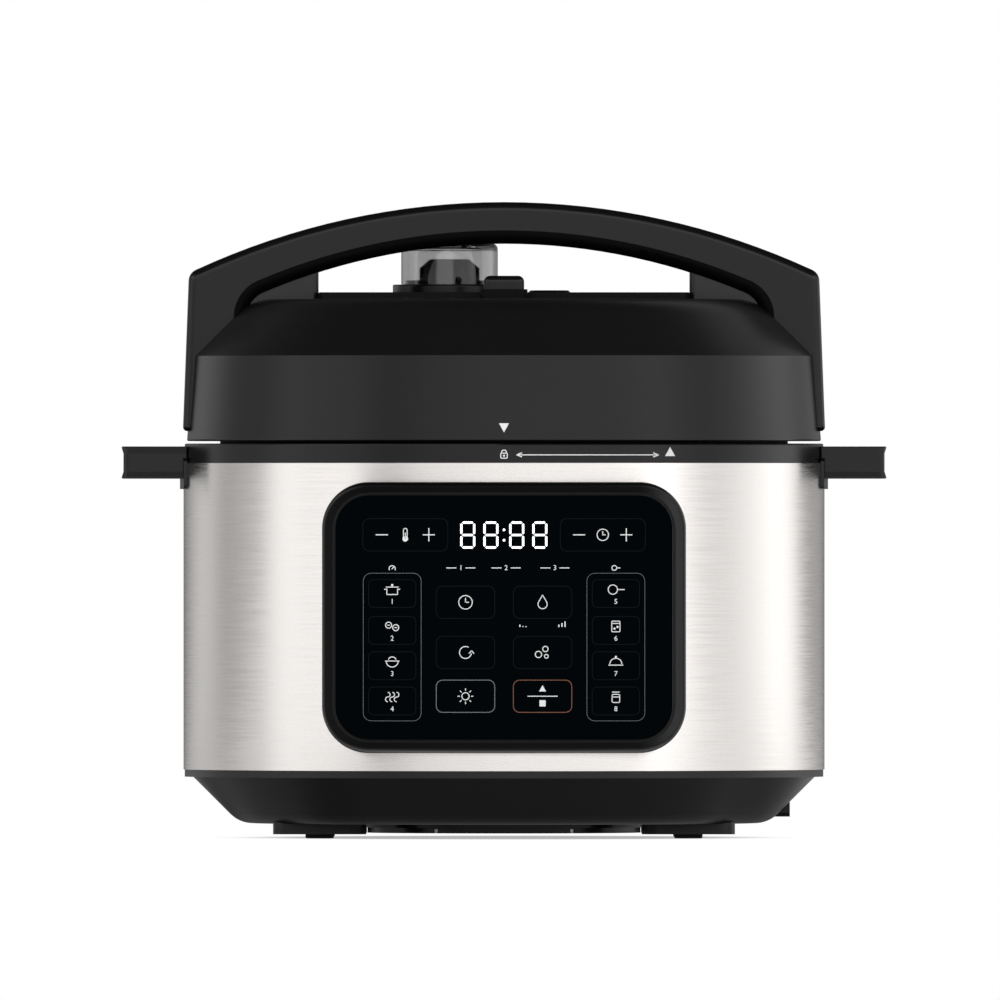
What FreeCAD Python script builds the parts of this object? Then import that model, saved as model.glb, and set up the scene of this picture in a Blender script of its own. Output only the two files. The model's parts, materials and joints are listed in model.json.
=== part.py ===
import FreeCAD
import Part
import Sketcher
import math
import os
from types import SimpleNamespace

# Electric pressure cooker of the six litre class.
# Millimetres. The cooker stands on the ground plane, +Z is up and the control panel looks along -Y.

Vector = FreeCAD.Vector
Rotation = FreeCAD.Rotation
doc = FreeCAD.newDocument("pressure_cooker")

SIZES = {
    # Clearances
    "fit_gap": 0.1,               # between pieces that are fixed to one another
    "run_gap": 0.3,               # between pieces that move past one another
    # Base and feet
    "pad_proud": 2.0,
    "pad_radius": 7.0,
    "pad_recess": 3.0,
    "pad_round": 0.8,
    "foot_drop": 5.0,
    "foot_length": 45.0,
    "foot_width": 22.0,
    "foot_round": 8.0,
    "foot_inset_x": 39.0,         # middle of a foot from the edge of the floor, sideways
    "foot_inset_y": 72.9,         # the same, front to back
    "base_height": 26.0,          # from the floor of the base to the steel band
    "base_wall": 3.0,
    "base_round": 15.0,
    "cone_run": 22.5,             # how far the sloping side of the base draws in
    "rim_height": 3.5,
    "rim_setback": 0.6,           # the plastic rims stand back from the steel
    "rim_overhang": 4.0,
    "floor_hole_inset": 67.9,     # edge of the service hole from the edge of the floor
    "cover_overlap": 10.0,
    "cover_drop": 4.6,
    "cover_wall": 2.0,
    "cover_step": 4.0,
    "cover_screw_inset": 3.0,     # from the edge of the floor hole
    "cover_screw_radius": 1.4,
    "cover_head_radius": 2.9,
    "vent_slot_length": 64.0,
    "vent_slot_width": 4.0,
    "vent_slot_pitch": 12.0,
    # Steel band and the ring above it
    "band_radius": 155.0,
    "band_wall": 0.6,
    "band_height": 148.0,
    "band_hem": 4.5,
    "ring_height": 9.5,
    "ring_wall": 3.0,
    "ring_plate": 2.5,
    "ring_round": 0.8,
    # Side handles
    "side_reach": 30.0,           # from the band to the end of the handle
    "side_length": 44.0,
    "side_half_height": 7.8,
    "side_below_rim": 1.4,        # top of the handle under the top of the ring
    "side_round": 3.0,
    "side_edge": 0.6,
    "side_lip": 3.4,              # height of the flared lips above and below the grip
    "side_scoop": 18.0,           # slope of the lips in degrees
    "flange_height": 15.0,
    "flange_wall": 1.7,
    "flange_length": 50.0,
    "flange_drop": 5.0,           # lower edge of the flange under the handle
    "side_root": 15.5,            # how far the grip is drawn into the band before it is cut back
    "side_screw_y": 12.0,
    "side_screw_length": 15.0,
    "side_screw_radius": 1.8,
    "side_head_radius": 3.2,
    # Pots and heater
    "pot_setback": 43.0,          # from the steel band to the inside of the pot
    "pot_wall": 1.5,
    "pot_floor": 3.0,
    "pot_rim_drop": 0.4,          # rim of the pot under the top of the ring
    "pot_round": 14.0,
    "pot_rim_width": 8.5,
    "pot_rim_thickness": 1.8,
    "well_gap": 2.0,
    "well_wall": 1.0,
    "well_rise": 1.0,             # underside of the well above the foot of the band
    "well_round": 8.0,
    "well_hole_radius": 26.0,
    "well_neck_gap": 2.8,
    "well_neck_height": 6.5,
    "plate_setback": 17.0,        # the plate is smaller than the inside of the pot
    "plate_thickness": 8.0,
    "plate_lift": 2.0,
    "plate_hole_radius": 13.0,
    "spacer_radius": 5.0,
    "spacer_inset": 11.0,         # from the edge of the plate
    "element_inset": 30.0,
    "element_radius": 3.2,
    "element_sink": 1.0,          # middle of the tube above the underside of the plate
    "terminal_radius": 2.6,
    "terminal_drop": 8.0,
    "sensor_radius": 11.5,
    "sensor_thickness": 5.0,
    "sensor_stem_radius": 4.0,
    "sensor_stem_length": 22.0,
    "bracket_drop": 12.0,
    "bracket_wall": 2.0,
    "bracket_width": 16.0,
    "bracket_half_span": 22.0,
    "bracket_tab": 12.0,
    "spring_wire": 0.6,
    # Locking ring
    "lock_margin": 11.3,          # from the pressed lid to the outside of the locking ring
    "lock_wall": 1.5,
    "lock_height": 12.5,
    "lock_foot": 9.0,
    "lug_count": 6.0,
    "lug_angle": 26.0,
    "lug_slack": 2.0,             # the lugs of the lid are narrower by this, in degrees
    "lug_reach": 7.3,
    "lug_thickness": 2.0,
    "lug_play": 0.6,
    # Lid
    "lid_gap": 1.2,
    "skirt_setback": 1.7,         # lower edge of the skirt behind the steel band
    "skirt_flare": 2.9,           # how much wider the skirt is below than above
    "skirt_height": 41.1,
    "skirt_wall": 2.8,
    "skirt_round": 0.8,
    "dome_run": 27.4,             # how far the sloping side of the dome draws in
    "dome_height": 27.4,
    "dome_wall": 2.8,
    "dome_round": 25.0,
    "spigot_height": 6.0,
    "spigot_wall": 2.5,
    "post_radius": 5.0,
    "post_inset": 12.0,           # from the edge of the pressed lid's flat top
    "lid_screw_radius": 1.5,
    "lid_screw_reach": 11.0,
    "lid_head_radius": 4.0,
    "lid_head_height": 2.2,
    "inner_lid_wall": 1.5,
    "inner_lid_margin": 4.0,      # from the rim of the pot to the outside of the pressed lid
    "inner_lid_setback": 22.0,    # its flat top is smaller than the inside of the pot
    "inner_lid_run": 14.0,
    "inner_lid_rise": 32.0,
    "inner_lid_round": 5.0,
    "lid_lug_reach": 8.0,
    "seal_height": 13.6,
    "seal_width": 13.5,
    "seal_lip": 5.0,
    "seal_lip_height": 4.0,
    "rack_wall": 1.5,
    "rack_foot": 3.5,
    "rack_height": 9.0,
    # Lid handle
    "arch_rise": 47.0,
    "arch_bow": 34.3,             # rise of the arch from its shoulders to its middle
    "arch_proud": 1.9,            # shoulders outside the top of the skirt
    "arch_corner": 6.0,
    "leg_proud": 4.8,
    "leg_clear": 4.8,             # end of the legs above the edge of the skirt
    "leg_corner": 2.0,
    "handle_depth": 40.0,
    "handle_edge": 4.2,
    "grip_thickness": 20.0,
    "grip_bow": 27.21,            # rise of the finger gap from its ends to its middle
    "grip_end": 28.0,             # from the shoulder of the arch to the end of the gap
    "gap_corner": 13.0,
    "gap_depth": 30.0,            # how far the handle outline runs down into the dome
    "liner_thickness": 6.3,
    "liner_edge": 4.6,
    "tower_width": 34.6,
    "tower_depth": 29.0,
    "tower_edge": 3.0,
    "tower_screw_inset": 10.3,    # from the inner side of the tower
    "tower_screw_y": 8.0,
    "tower_screw_reach": 7.0,
    "tower_screw_radius": 1.7,
    "tower_head_radius": 3.4,
    "tower_head_height": 2.4,
    # Deck, valves and release button
    "deck_thickness": 3.4,
    "deck_front": 22.6,
    "deck_back": 78.0,
    "deck_round": 30.0,
    "deck_nose": 5.0,
    "valve_x": 26.4,
    "valve_y": 48.5,
    "valve_base_radius": 27.5,
    "valve_base_height": 4.0,
    "valve_lip_height": 2.0,
    "valve_lip_wall": 1.4,
    "cap_radius": 23.4,
    "cap_wall": 1.6,
    "cap_height": 19.9,
    "cap_top": 2.4,
    "cap_round": 3.0,
    "cap_slot_length": 8.0,
    "cap_slot_width": 2.4,
    "cap_slot_circle": 13.0,
    "pipe_radius": 6.0,
    "pipe_bore": 2.0,
    "pipe_proud": 4.4,            # top of the pipe above the valve base
    "pipe_tail": 6.0,
    "pipe_collar_radius": 9.5,
    "pipe_collar_height": 3.0,
    "nut_radius": 10.0,
    "nut_height": 4.0,
    "shield_radius": 14.0,
    "shield_wall": 1.0,
    "shield_height": 12.0,
    "shield_window_radius": 2.2,
    "shield_window_height": 4.2,
    "weight_radius": 14.5,
    "weight_height": 12.0,
    "weight_shoulder": 7.6,
    "weight_top_radius": 9.4,
    "weight_flute": 3.2,
    "flute_offset": 1.3,          # middle of a flute outside the weight
    "flute_foot": 3.0,
    "lift_pin_radius": 1.5,
    "lift_pin_offset": 10.5,
    "button_y": 31.0,
    "button_width": 19.5,
    "button_depth": 13.0,
    "button_round": 3.6,
    "button_edge": 3.0,
    "button_height": 11.3,        # top of the button above the dome
    "button_flange": 1.4,
    "button_stem_radius": 2.0,
    "collar_wall": 1.3,
    "collar_height": 4.8,
    "lever_below": 7.4,           # top of the lever under the inside of the dome
    "lever_thickness": 4.0,
    "lever_width": 8.0,
    "lever_tip": 3.5,
    "lever_boss_radius": 4.4,
    "lever_pin_radius": 2.0,
    "ear_wall": 2.0,
    "ear_foot": 1.5,
    "ear_length": 12.0,
    "button_spring_radius": 4.0,
    "button_spring_wire": 0.5,
    "float_x": 22.0,
    "float_y": 40.0,
    "float_pad_radius": 10.4,
    "float_pad_height": 1.2,
    "float_sleeve_radius": 6.4,
    "float_head_radius": 4.5,
    "float_head_height": 2.4,
    "float_ledge": 1.8,
    "float_stem_radius": 2.9,
    "float_foot_radius": 6.0,
    "float_foot_height": 3.0,
    "float_seal_height": 1.2,
    "float_travel": 3.5,
    # Control panel
    "panel_width": 175.0,
    "panel_height": 130.3,
    "panel_lower": 0.25,          # middle of the panel under the middle of the band
    "panel_round": 22.5,
    "panel_proud": 4.6,
    "panel_flatter": 50.0,        # radius of the bowed face above that of the band
    "panel_edge": 2.6,
    "panel_wall": 3.5,
    "panel_skin": 5.0,
    "panel_depth": 62.0,          # how far back the bezel is drawn before it is cut to the band
    "bezel_border": 6.6,
    "glass_round": 15.9,
    "glass_thickness": 2.5,
    "glass_sunk": 0.4,
    "window_inset": 10.0,         # window in the band, from the edge of the panel
    "window_round": 12.0,
    "board_margin": 14.5,         # control board, from the edge of the panel
    "board_thickness": 1.6,
    "board_inset": 16.6,          # back of the control board behind the band
    "board_boss_inset": 8.0,
    "board_boss_radius": 3.5,
    "display_width": 62.0,
    "display_height": 18.0,
    "display_drop": 26.65,        # middle of the display under the upper edge of the panel
    # Power inlet and power board
    "inlet_y": 38.0,
    "inlet_width": 54.0,
    "inlet_under_rim": 0.5,
    "inlet_proud": 10.4,          # face of the inlet outside the edge of the floor
    "inlet_depth": 34.0,
    "inlet_round": 2.0,
    "socket_width": 24.6,
    "socket_wall": 1.4,
    "socket_depth": 16.0,
    "socket_round": 3.0,
    "pin_length": 12.0,
    "pin_width": 2.0,
    "pin_height": 4.0,
    "pin_spread": 7.0,
    "pin_drop": 1.6,
    "earth_rise": 3.0,
    "power_board_width": 100.0,
    "power_board_depth": 50.0,
    "power_board_inset": 37.9,    # middle of the power board from the edge of the floor
    "power_board_lift": 5.0,
    "standoff_radius": 3.0,
    "standoff_inset": 5.0,
    "component_room": 1.5,        # between the tallest components and the well
    "relay_length": 20.0,
    "relay_width": 16.0,
    "relay_x": 24.0,
    "coil_length": 22.0,
    "coil_width": 20.0,
    "coil_x": 3.0,
    "can_radius": 6.5,
    "can_x": 28.0,
    "can_y": 10.0,
    "fin_length": 14.0,
    "fin_width": 9.0,
    "fin_y": 11.5,
    "block_length": 5.0,
    "block_width": 12.0,
    "block_height": 7.0,
    "block_inset": 6.0,           # middle of a terminal block from the end of the board
    "lead_radius": 1.4,
    "lead_lift": 3.5,             # leads above the power board
    "lead_spread": 5.0,
    "lead_pitch": 3.0,
    "lead_bend": 7.0,
    "mains_knee": 18.0,
    "heat_knee": 12.0,
    "heat_step": 9.0,
    "heat_bend": 3.0,
    "ribbon_width": 24.0,
    "ribbon_foot": 12.0,
    "ribbon_inset": 8.0,
    "ribbon_thickness": 1.0,
}

COVER_SCREWS = 6
LID_POSTS = 4
PLATE_SPACERS = 3
SHIELD_WINDOWS = 6
WEIGHT_FLUTES = 8
CAP_SLOTS = 6
VENT_SLOT_ROWS = (-2, -1, 0, 1, 2)
SENSOR_SPRING_TURNS = 5
BUTTON_SPRING_TURNS = 3
TERMINAL_ANGLES = (200.0, 215.0)  # where the ends of the heater element come down, in degrees
BOTH_SIDES = (-1, 1)


class Size:
    """A length or angle: its formula in the sheet and its value at the moment."""

    def __init__(self, formula, value):
        self.formula = formula
        self.value = float(value)

    def __add__(self, other):
        return combine(self, "+", other)

    def __radd__(self, other):
        return combine(other, "+", self)

    def __sub__(self, other):
        return combine(self, "-", other)

    def __rsub__(self, other):
        return combine(other, "-", self)

    def __mul__(self, other):
        return combine(self, "*", other)

    def __rmul__(self, other):
        return combine(other, "*", self)

    def __truediv__(self, other):
        return combine(self, "/", other)

    def __rtruediv__(self, other):
        return combine(other, "/", self)

    def __neg__(self):
        return combine(0, "-", self)


def as_size(item):
    """Returns a Size for a Size or a plain number."""
    if isinstance(item, Size):
        return item
    return Size(f"({float(item)!r})", item)


def combine(left, sign, right):
    """Joins two sizes or numbers with +, -, * or /."""
    left, right = as_size(left), as_size(right)
    formula = f"({left.formula} {sign} {right.formula})"
    if sign == "/":
        return Size(formula, left.value / right.value)
    if sign == "*":
        return Size(formula, left.value * right.value)
    if sign == "-":
        return Size(formula, left.value - right.value)
    return Size(formula, left.value + right.value)


def root(size):
    """Square root of a size."""
    return Size(f"sqrt({size.formula})", math.sqrt(size.value))


def arctan(size):
    """Angle in degrees whose tangent is the size."""
    return Size(f"atan({size.formula})", math.degrees(math.atan(size.value)))


def tangent(size):
    """Tangent of an angle in degrees."""
    return Size(f"tan({size.formula})", math.tan(math.radians(size.value)))


def bow_radius(half, rise):
    """Radius of an arc from half its chord and its rise."""
    return (half * half + rise * rise) / (rise * 2)


def fill_sheet():
    """Writes every driving size into the sheet and returns them by name."""
    sheet = doc.addObject("Spreadsheet::Sheet", "Sizes")
    for row, (name, value) in enumerate(SIZES.items(), 1):
        sheet.set(f"A{row}", name)
        sheet.set(f"B{row}", str(value))
        sheet.setAlias(f"B{row}", name)
    doc.recompute()
    return SimpleNamespace(**{name: Size(f"Sizes.{name}", value) for name, value in SIZES.items()})


S = fill_sheet()
zero = as_size(0)
subparts = []


# Building blocks

def bind(item, **sizes):
    """Binds properties of an object to sizes."""
    for name, size in sizes.items():
        item.setExpression(name, as_size(size).formula)


def place(item, x=0, y=0, z=0, turn=None):
    """Puts an object at a place bound to the sheet, turned about the vertical axis if asked."""
    if turn is not None:
        item.Placement = FreeCAD.Placement(Vector(), Rotation(Vector(0, 0, 1), turn.value))
        item.setExpression("Placement.Rotation.Angle", turn.formula)
    for axis, size in zip("xyz", (x, y, z)):
        item.setExpression(f"Placement.Base.{axis}", as_size(size).formula)
    return item


def keep(item, label):
    """Names an object as a sub-part of the cooker."""
    item.Label = label
    subparts.append(item)
    return item


def new_sketch(body, plane, start):
    """Adds a sketch on an origin plane of the body, moved along the plane's normal."""
    sketch = body.newObject("Sketcher::SketchObject", body.Name + "_sketch")
    support = next(f for f in body.Origin.OriginFeatures if f.Role == plane + "_Plane")
    sketch.AttachmentSupport = (support, [""])
    sketch.MapMode = "FlatFace"
    sketch.setExpression("AttachmentOffset.Base.z", as_size(start).formula)
    return sketch


def add_edge(sketch, begin, end, bow):
    """Adds a line, or an arc of the radius bow that leaves the chord on its left.

    Returns the edge's number and the positions of its begin and end.
    """
    if bow is None:
        return sketch.addGeometry(Part.LineSegment(begin, end), False), 1, 2
    chord = end - begin
    half = chord.Length / 2
    normal = Vector(-chord.y, chord.x, 0).normalize()
    centre = (begin + end) / 2 + normal * math.sqrt(bow.value ** 2 - half ** 2)
    first = math.atan2(begin.y - centre.y, begin.x - centre.x)
    last = math.atan2(end.y - centre.y, end.x - centre.x)
    circle = Part.Circle(centre, Vector(0, 0, 1), bow.value)
    return sketch.addGeometry(Part.ArcOfCircle(circle, first, last), False), 1, 2


def tie(sketch, kind, size, *where):
    """Adds a constraint and binds it to a size."""
    number = sketch.addConstraint(Sketcher.Constraint(kind, *where, as_size(size).value))
    sketch.setExpression(f"Constraints[{number}]", as_size(size).formula)


def draw(sketch, corners, bows=None):
    """Draws a closed outline through corners (x, y) or (x, y, rounding), against the clock.

    An edge whose number is in bows is an arc of that radius.
    """
    bows = bows or {}
    points = [Vector(as_size(c[0]).value, as_size(c[1]).value, 0) for c in corners]
    count = len(points)
    edges = [add_edge(sketch, points[i], points[(i + 1) % count], bows.get(i)) for i in range(count)]
    for i, (edge, _, end) in enumerate(edges):
        following, begin, _ = edges[(i + 1) % count]
        sketch.addConstraint(Sketcher.Constraint("Coincident", edge, end, following, begin))
    vertices = [(edge, begin) for edge, begin, _ in edges]
    for i, corner in enumerate(corners):
        if len(corner) == 3:
            edge, _, end = edges[i - 1]
            sketch.fillet(edge, end, corner[2].value, True, True)
            arc = sketch.GeometryCount - 2
            vertices[i] = (arc + 1, 1)
            tie(sketch, "Radius", corner[2], arc)
    for vertex, corner in zip(vertices, corners):
        tie(sketch, "DistanceX", corner[0], -1, 1, *vertex)
        tie(sketch, "DistanceY", corner[1], -1, 1, *vertex)


def rectangle(x, y, width, height, rounding=None):
    """Corners of a rectangle about a middle point, rounded if asked."""
    corners = []
    for side, level in ((-1, -1), (1, -1), (1, 1), (-1, 1)):
        corner = (x + width / 2 * side, y + height / 2 * level)
        corners.append(corner if rounding is None else corner + (rounding,))
    return corners


def turned(name, corners):
    """A body turned about the vertical axis from an outline of radius and height."""
    body = doc.addObject("PartDesign::Body", name)
    sketch = new_sketch(body, "XZ", 0)
    draw(sketch, corners)
    turn = body.newObject("PartDesign::Revolution", name + "_turn")
    turn.Profile = sketch
    turn.ReferenceAxis = (sketch, ["V_Axis"])
    turn.Angle = 360
    return body


def padded(name, plane, corners, start, length, bows=None, holes=(), middle=False):
    """A body padded from an outline on a plane; the outline lies at start along the normal."""
    body = doc.addObject("PartDesign::Body", name)
    sketch = new_sketch(body, plane, start)
    draw(sketch, corners, bows)
    for hole_corners, hole_bows in holes:
        draw(sketch, hole_corners, hole_bows)
    pad = body.newObject("PartDesign::Pad", name + "_pad")
    pad.Profile = sketch
    pad.Midplane = middle
    bind(pad, Length=length)
    return body


def add_lugs(body, corners, angle, count):
    """Adds evenly spaced lugs to a turned body; the outline is their section."""
    sketch = new_sketch(body, "XZ", 0)
    draw(sketch, corners)
    lug = body.newObject("PartDesign::Revolution", body.Name + "_lug")
    lug.Profile = sketch
    lug.ReferenceAxis = (sketch, ["V_Axis"])
    lug.Midplane = True
    bind(lug, Angle=angle)
    pattern = body.newObject("PartDesign::PolarPattern", body.Name + "_lugs")
    pattern.Originals = [lug]
    pattern.Axis = (sketch, ["V_Axis"])
    pattern.Angle = 360
    bind(pattern, Occurrences=count)
    body.Tip = pattern


def middle_of(edge):
    """Point halfway along an edge."""
    return edge.valueAt((edge.FirstParameter + edge.LastParameter) / 2)


def runs_along(edge, axis):
    """Tells whether an edge is straight along an axis."""
    ends = edge.Vertexes
    return len(ends) == 2 and abs((ends[1].Point - ends[0].Point).normalize().dot(axis)) > 0.999


def round_edges(body, radius, wanted):
    """Rounds those edges of a body that the test wanted picks."""
    doc.recompute()
    base = body.Tip
    names = [f"Edge{i}" for i, edge in enumerate(base.Shape.Edges, 1) if wanted(edge)]
    fillet = body.newObject("PartDesign::Fillet", body.Name + "_round")
    fillet.Base = (base, names)
    bind(fillet, Radius=radius)
    body.Tip = fillet


def cylinder(name, radius, height, x=0, y=0, z=0, along="z"):
    """A round bar that starts at a point and runs along +x, +y or +z."""
    item = doc.addObject("Part::Cylinder", name)
    if along == "x":
        item.Placement = FreeCAD.Placement(Vector(), Rotation(Vector(0, 1, 0), 90))
    if along == "y":
        item.Placement = FreeCAD.Placement(Vector(), Rotation(Vector(1, 0, 0), -90))
    bind(item, Radius=radius, Height=height)
    return place(item, x, y, z)


def box(name, length, width, height, x, y, z):
    """A box whose lowest corner lies at a point."""
    item = doc.addObject("Part::Box", name)
    bind(item, Length=length, Width=width, Height=height)
    return place(item, x, y, z)


def fuse(name, *items):
    """One solid from several that overlap."""
    result = doc.addObject("Part::MultiFuse", name)
    result.Shapes = list(items)
    return result


def cut(name, base, *tools):
    """A solid with others taken out of it."""
    result = doc.addObject("Part::Cut", name)
    result.Base = base
    result.Tool = tools[0] if len(tools) == 1 else fuse(name + "_tools", *tools)
    return result


def common(name, one, other):
    """What two solids share."""
    result = doc.addObject("Part::Common", name)
    result.Base = one
    result.Tool = other
    return result


def group(name, items):
    """Separate solids that make one sub-part."""
    result = doc.addObject("Part::Compound", name)
    result.Links = list(items)
    return result


def pipe(name, edges, radius):
    """A round bar swept along joined edges."""
    path = Part.Wire(edges)
    start = path.Edges[0]
    along = start.tangentAt(start.FirstParameter)
    ring = Part.Wire([Part.makeCircle(radius, start.valueAt(start.FirstParameter), along)])
    item = doc.addObject("Part::Feature", name)
    item.Shape = path.makePipeShell([ring], True, False)
    item.Placement = FreeCAD.Placement()
    return item


def coil(name, radius, wire, turns, low, high, x=0, y=0):
    """A wound spring between two heights, made of quarter turns."""
    steps = turns * 8
    points = []
    for i in range(steps + 1):
        angle = 2 * math.pi * turns * i / steps
        height = low + wire + (high - low - 2 * wire) * i / steps
        points.append(Vector(x + radius * math.cos(angle), y + radius * math.sin(angle), height))
    arcs = [Part.Arc(*points[i:i + 3]).toShape() for i in range(0, steps, 2)]
    return pipe(name, arcs, wire)


def lead(name, points, radius, bend):
    """A wire through points with rounded bends."""
    edges = []
    begin = points[0]
    for before, corner, after in zip(points, points[1:], points[2:]):
        back = (before - corner).normalize()
        ahead = (after - corner).normalize()
        half = back.getAngle(ahead) / 2
        bisector = (back + ahead).normalize()
        arc_begin = corner + back * (bend / math.tan(half))
        arc_end = corner + ahead * (bend / math.tan(half))
        arc_middle = corner + bisector * (bend / math.sin(half) - bend)
        edges.append(Part.makeLine(begin, arc_begin))
        edges.append(Part.Arc(arc_begin, arc_middle, arc_end).toShape())
        begin = arc_end
    edges.append(Part.makeLine(begin, points[-1]))
    return pipe(name, edges, radius)


# Heights and radii that several pieces share

floor_z = S.pad_proud + S.foot_drop
floor_top = floor_z + S.base_wall
band_bottom = floor_z + S.base_height
rim_bottom = band_bottom - S.rim_height
band_top = band_bottom + S.band_height
ring_top = band_top + S.ring_height
rim_radius = S.band_radius - S.rim_setback
cone_top_radius = rim_radius - S.rim_overhang
cone_bottom_radius = cone_top_radius - S.cone_run
floor_hole_radius = cone_bottom_radius - S.floor_hole_inset
foot_x = cone_bottom_radius - S.foot_inset_x
foot_y = cone_bottom_radius - S.foot_inset_y

well_floor = band_bottom + S.well_rise
well_top = ring_top + S.well_wall
plate_bottom = well_floor + S.well_wall + S.plate_lift
plate_top = plate_bottom + S.plate_thickness
pot_bottom = plate_top + S.run_gap
pot_rim_top = ring_top - S.pot_rim_drop
pot_radius = S.band_radius - S.pot_setback
pot_outer = pot_radius + S.pot_wall
pot_rim_radius = pot_outer + S.pot_rim_width
well_radius = pot_outer + S.well_gap
neck_radius = pot_rim_radius + S.well_neck_gap
plate_radius = pot_radius - S.plate_setback
element_circle = plate_radius - S.element_inset
inner_lid_radius = pot_rim_radius + S.inner_lid_margin
inner_lid_top_radius = pot_radius - S.inner_lid_setback
lock_radius = inner_lid_radius + S.lock_margin

skirt_bottom_radius = S.band_radius - S.skirt_setback
skirt_top_radius = skirt_bottom_radius - S.skirt_flare
dome_top_radius = skirt_top_radius - S.dome_run
skirt_bottom = ring_top + S.lid_gap
skirt_top = skirt_bottom + S.skirt_height
dome_top = skirt_top + S.dome_height
dome_inside = dome_top - S.dome_wall
deck_top = dome_top + S.deck_thickness
lock_top = well_top + S.lock_height
lid_lug_top = lock_top - S.lug_thickness - S.lug_play
seal_top = pot_rim_top + S.run_gap + S.seal_height
inner_lid_under = seal_top + S.fit_gap
inner_lid_inside = inner_lid_under + S.inner_lid_rise
inner_lid_top = inner_lid_inside + S.inner_lid_wall

arch_top = dome_top + S.arch_rise
gap_top = arch_top - S.grip_thickness
gap_bottom = dome_top - S.gap_depth
arch_half = skirt_top_radius + S.arch_proud
arch_radius = bow_radius(arch_half, S.arch_bow)
gap_half = arch_half - S.grip_end
grip_radius = bow_radius(gap_half, S.grip_bow)
tower_x = gap_half - S.tower_width
valve_base_top = deck_top + S.valve_base_height
lever_top = dome_inside - S.lever_below
lever_middle = lever_top - S.lever_thickness / 2
lever_span = root(S.valve_x * S.valve_x + (S.valve_y + S.button_y) * (S.valve_y + S.button_y))
lever_turn = arctan(S.valve_x / (S.valve_y + S.button_y))
lever_along_x = -S.valve_x / lever_span
lever_along_y = (S.valve_y + S.button_y) / lever_span
lever_arm = lever_span / 2
lever_x = lever_along_x * lever_arm
lever_y = lever_along_y * lever_arm - S.button_y
lift_pin_x = lever_along_x * (lever_span - S.lift_pin_offset)
lift_pin_y = lever_along_y * (lever_span - S.lift_pin_offset) - S.button_y

panel_front = S.band_radius + S.panel_proud
panel_middle = band_bottom + S.band_height / 2 - S.panel_lower
panel_bow = S.band_radius + S.panel_flatter
panel_axis_y = panel_bow - panel_front
board_width = S.panel_width - S.board_margin * 2
board_height = S.panel_height - S.board_margin * 2
board_back = S.band_radius - S.board_inset
inlet_face = cone_bottom_radius + S.inlet_proud
inlet_height = rim_bottom - S.inlet_under_rim - floor_top
socket_height = inlet_height - S.socket_wall * 2
socket_middle = floor_top + inlet_height / 2
power_board_y = cone_bottom_radius - S.power_board_inset


def round_places(count, circle, first=0.0):
    """Points spread evenly on a circle."""
    places = []
    for i in range(count):
        angle = math.radians(first + 360.0 * i / count)
        places.append((circle * math.cos(angle), circle * math.sin(angle)))
    return places


def screws(label, places, head_radius, head_height, shank_radius, shank_length, head_z):
    """Upright screws with their heads below; head_z is where the head meets the piece it holds."""
    items = []
    for x, y in places:
        head = cylinder(label + "_head", head_radius, head_height, x, y, head_z - head_height)
        shank = cylinder(label + "_shank", shank_radius, head_height / 2 + shank_length, x, y,
                         head_z - head_height / 2)
        items.append(fuse(label + "_screw", head, shank))
    return keep(group(label + "_group", items), label)


# Base

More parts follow.
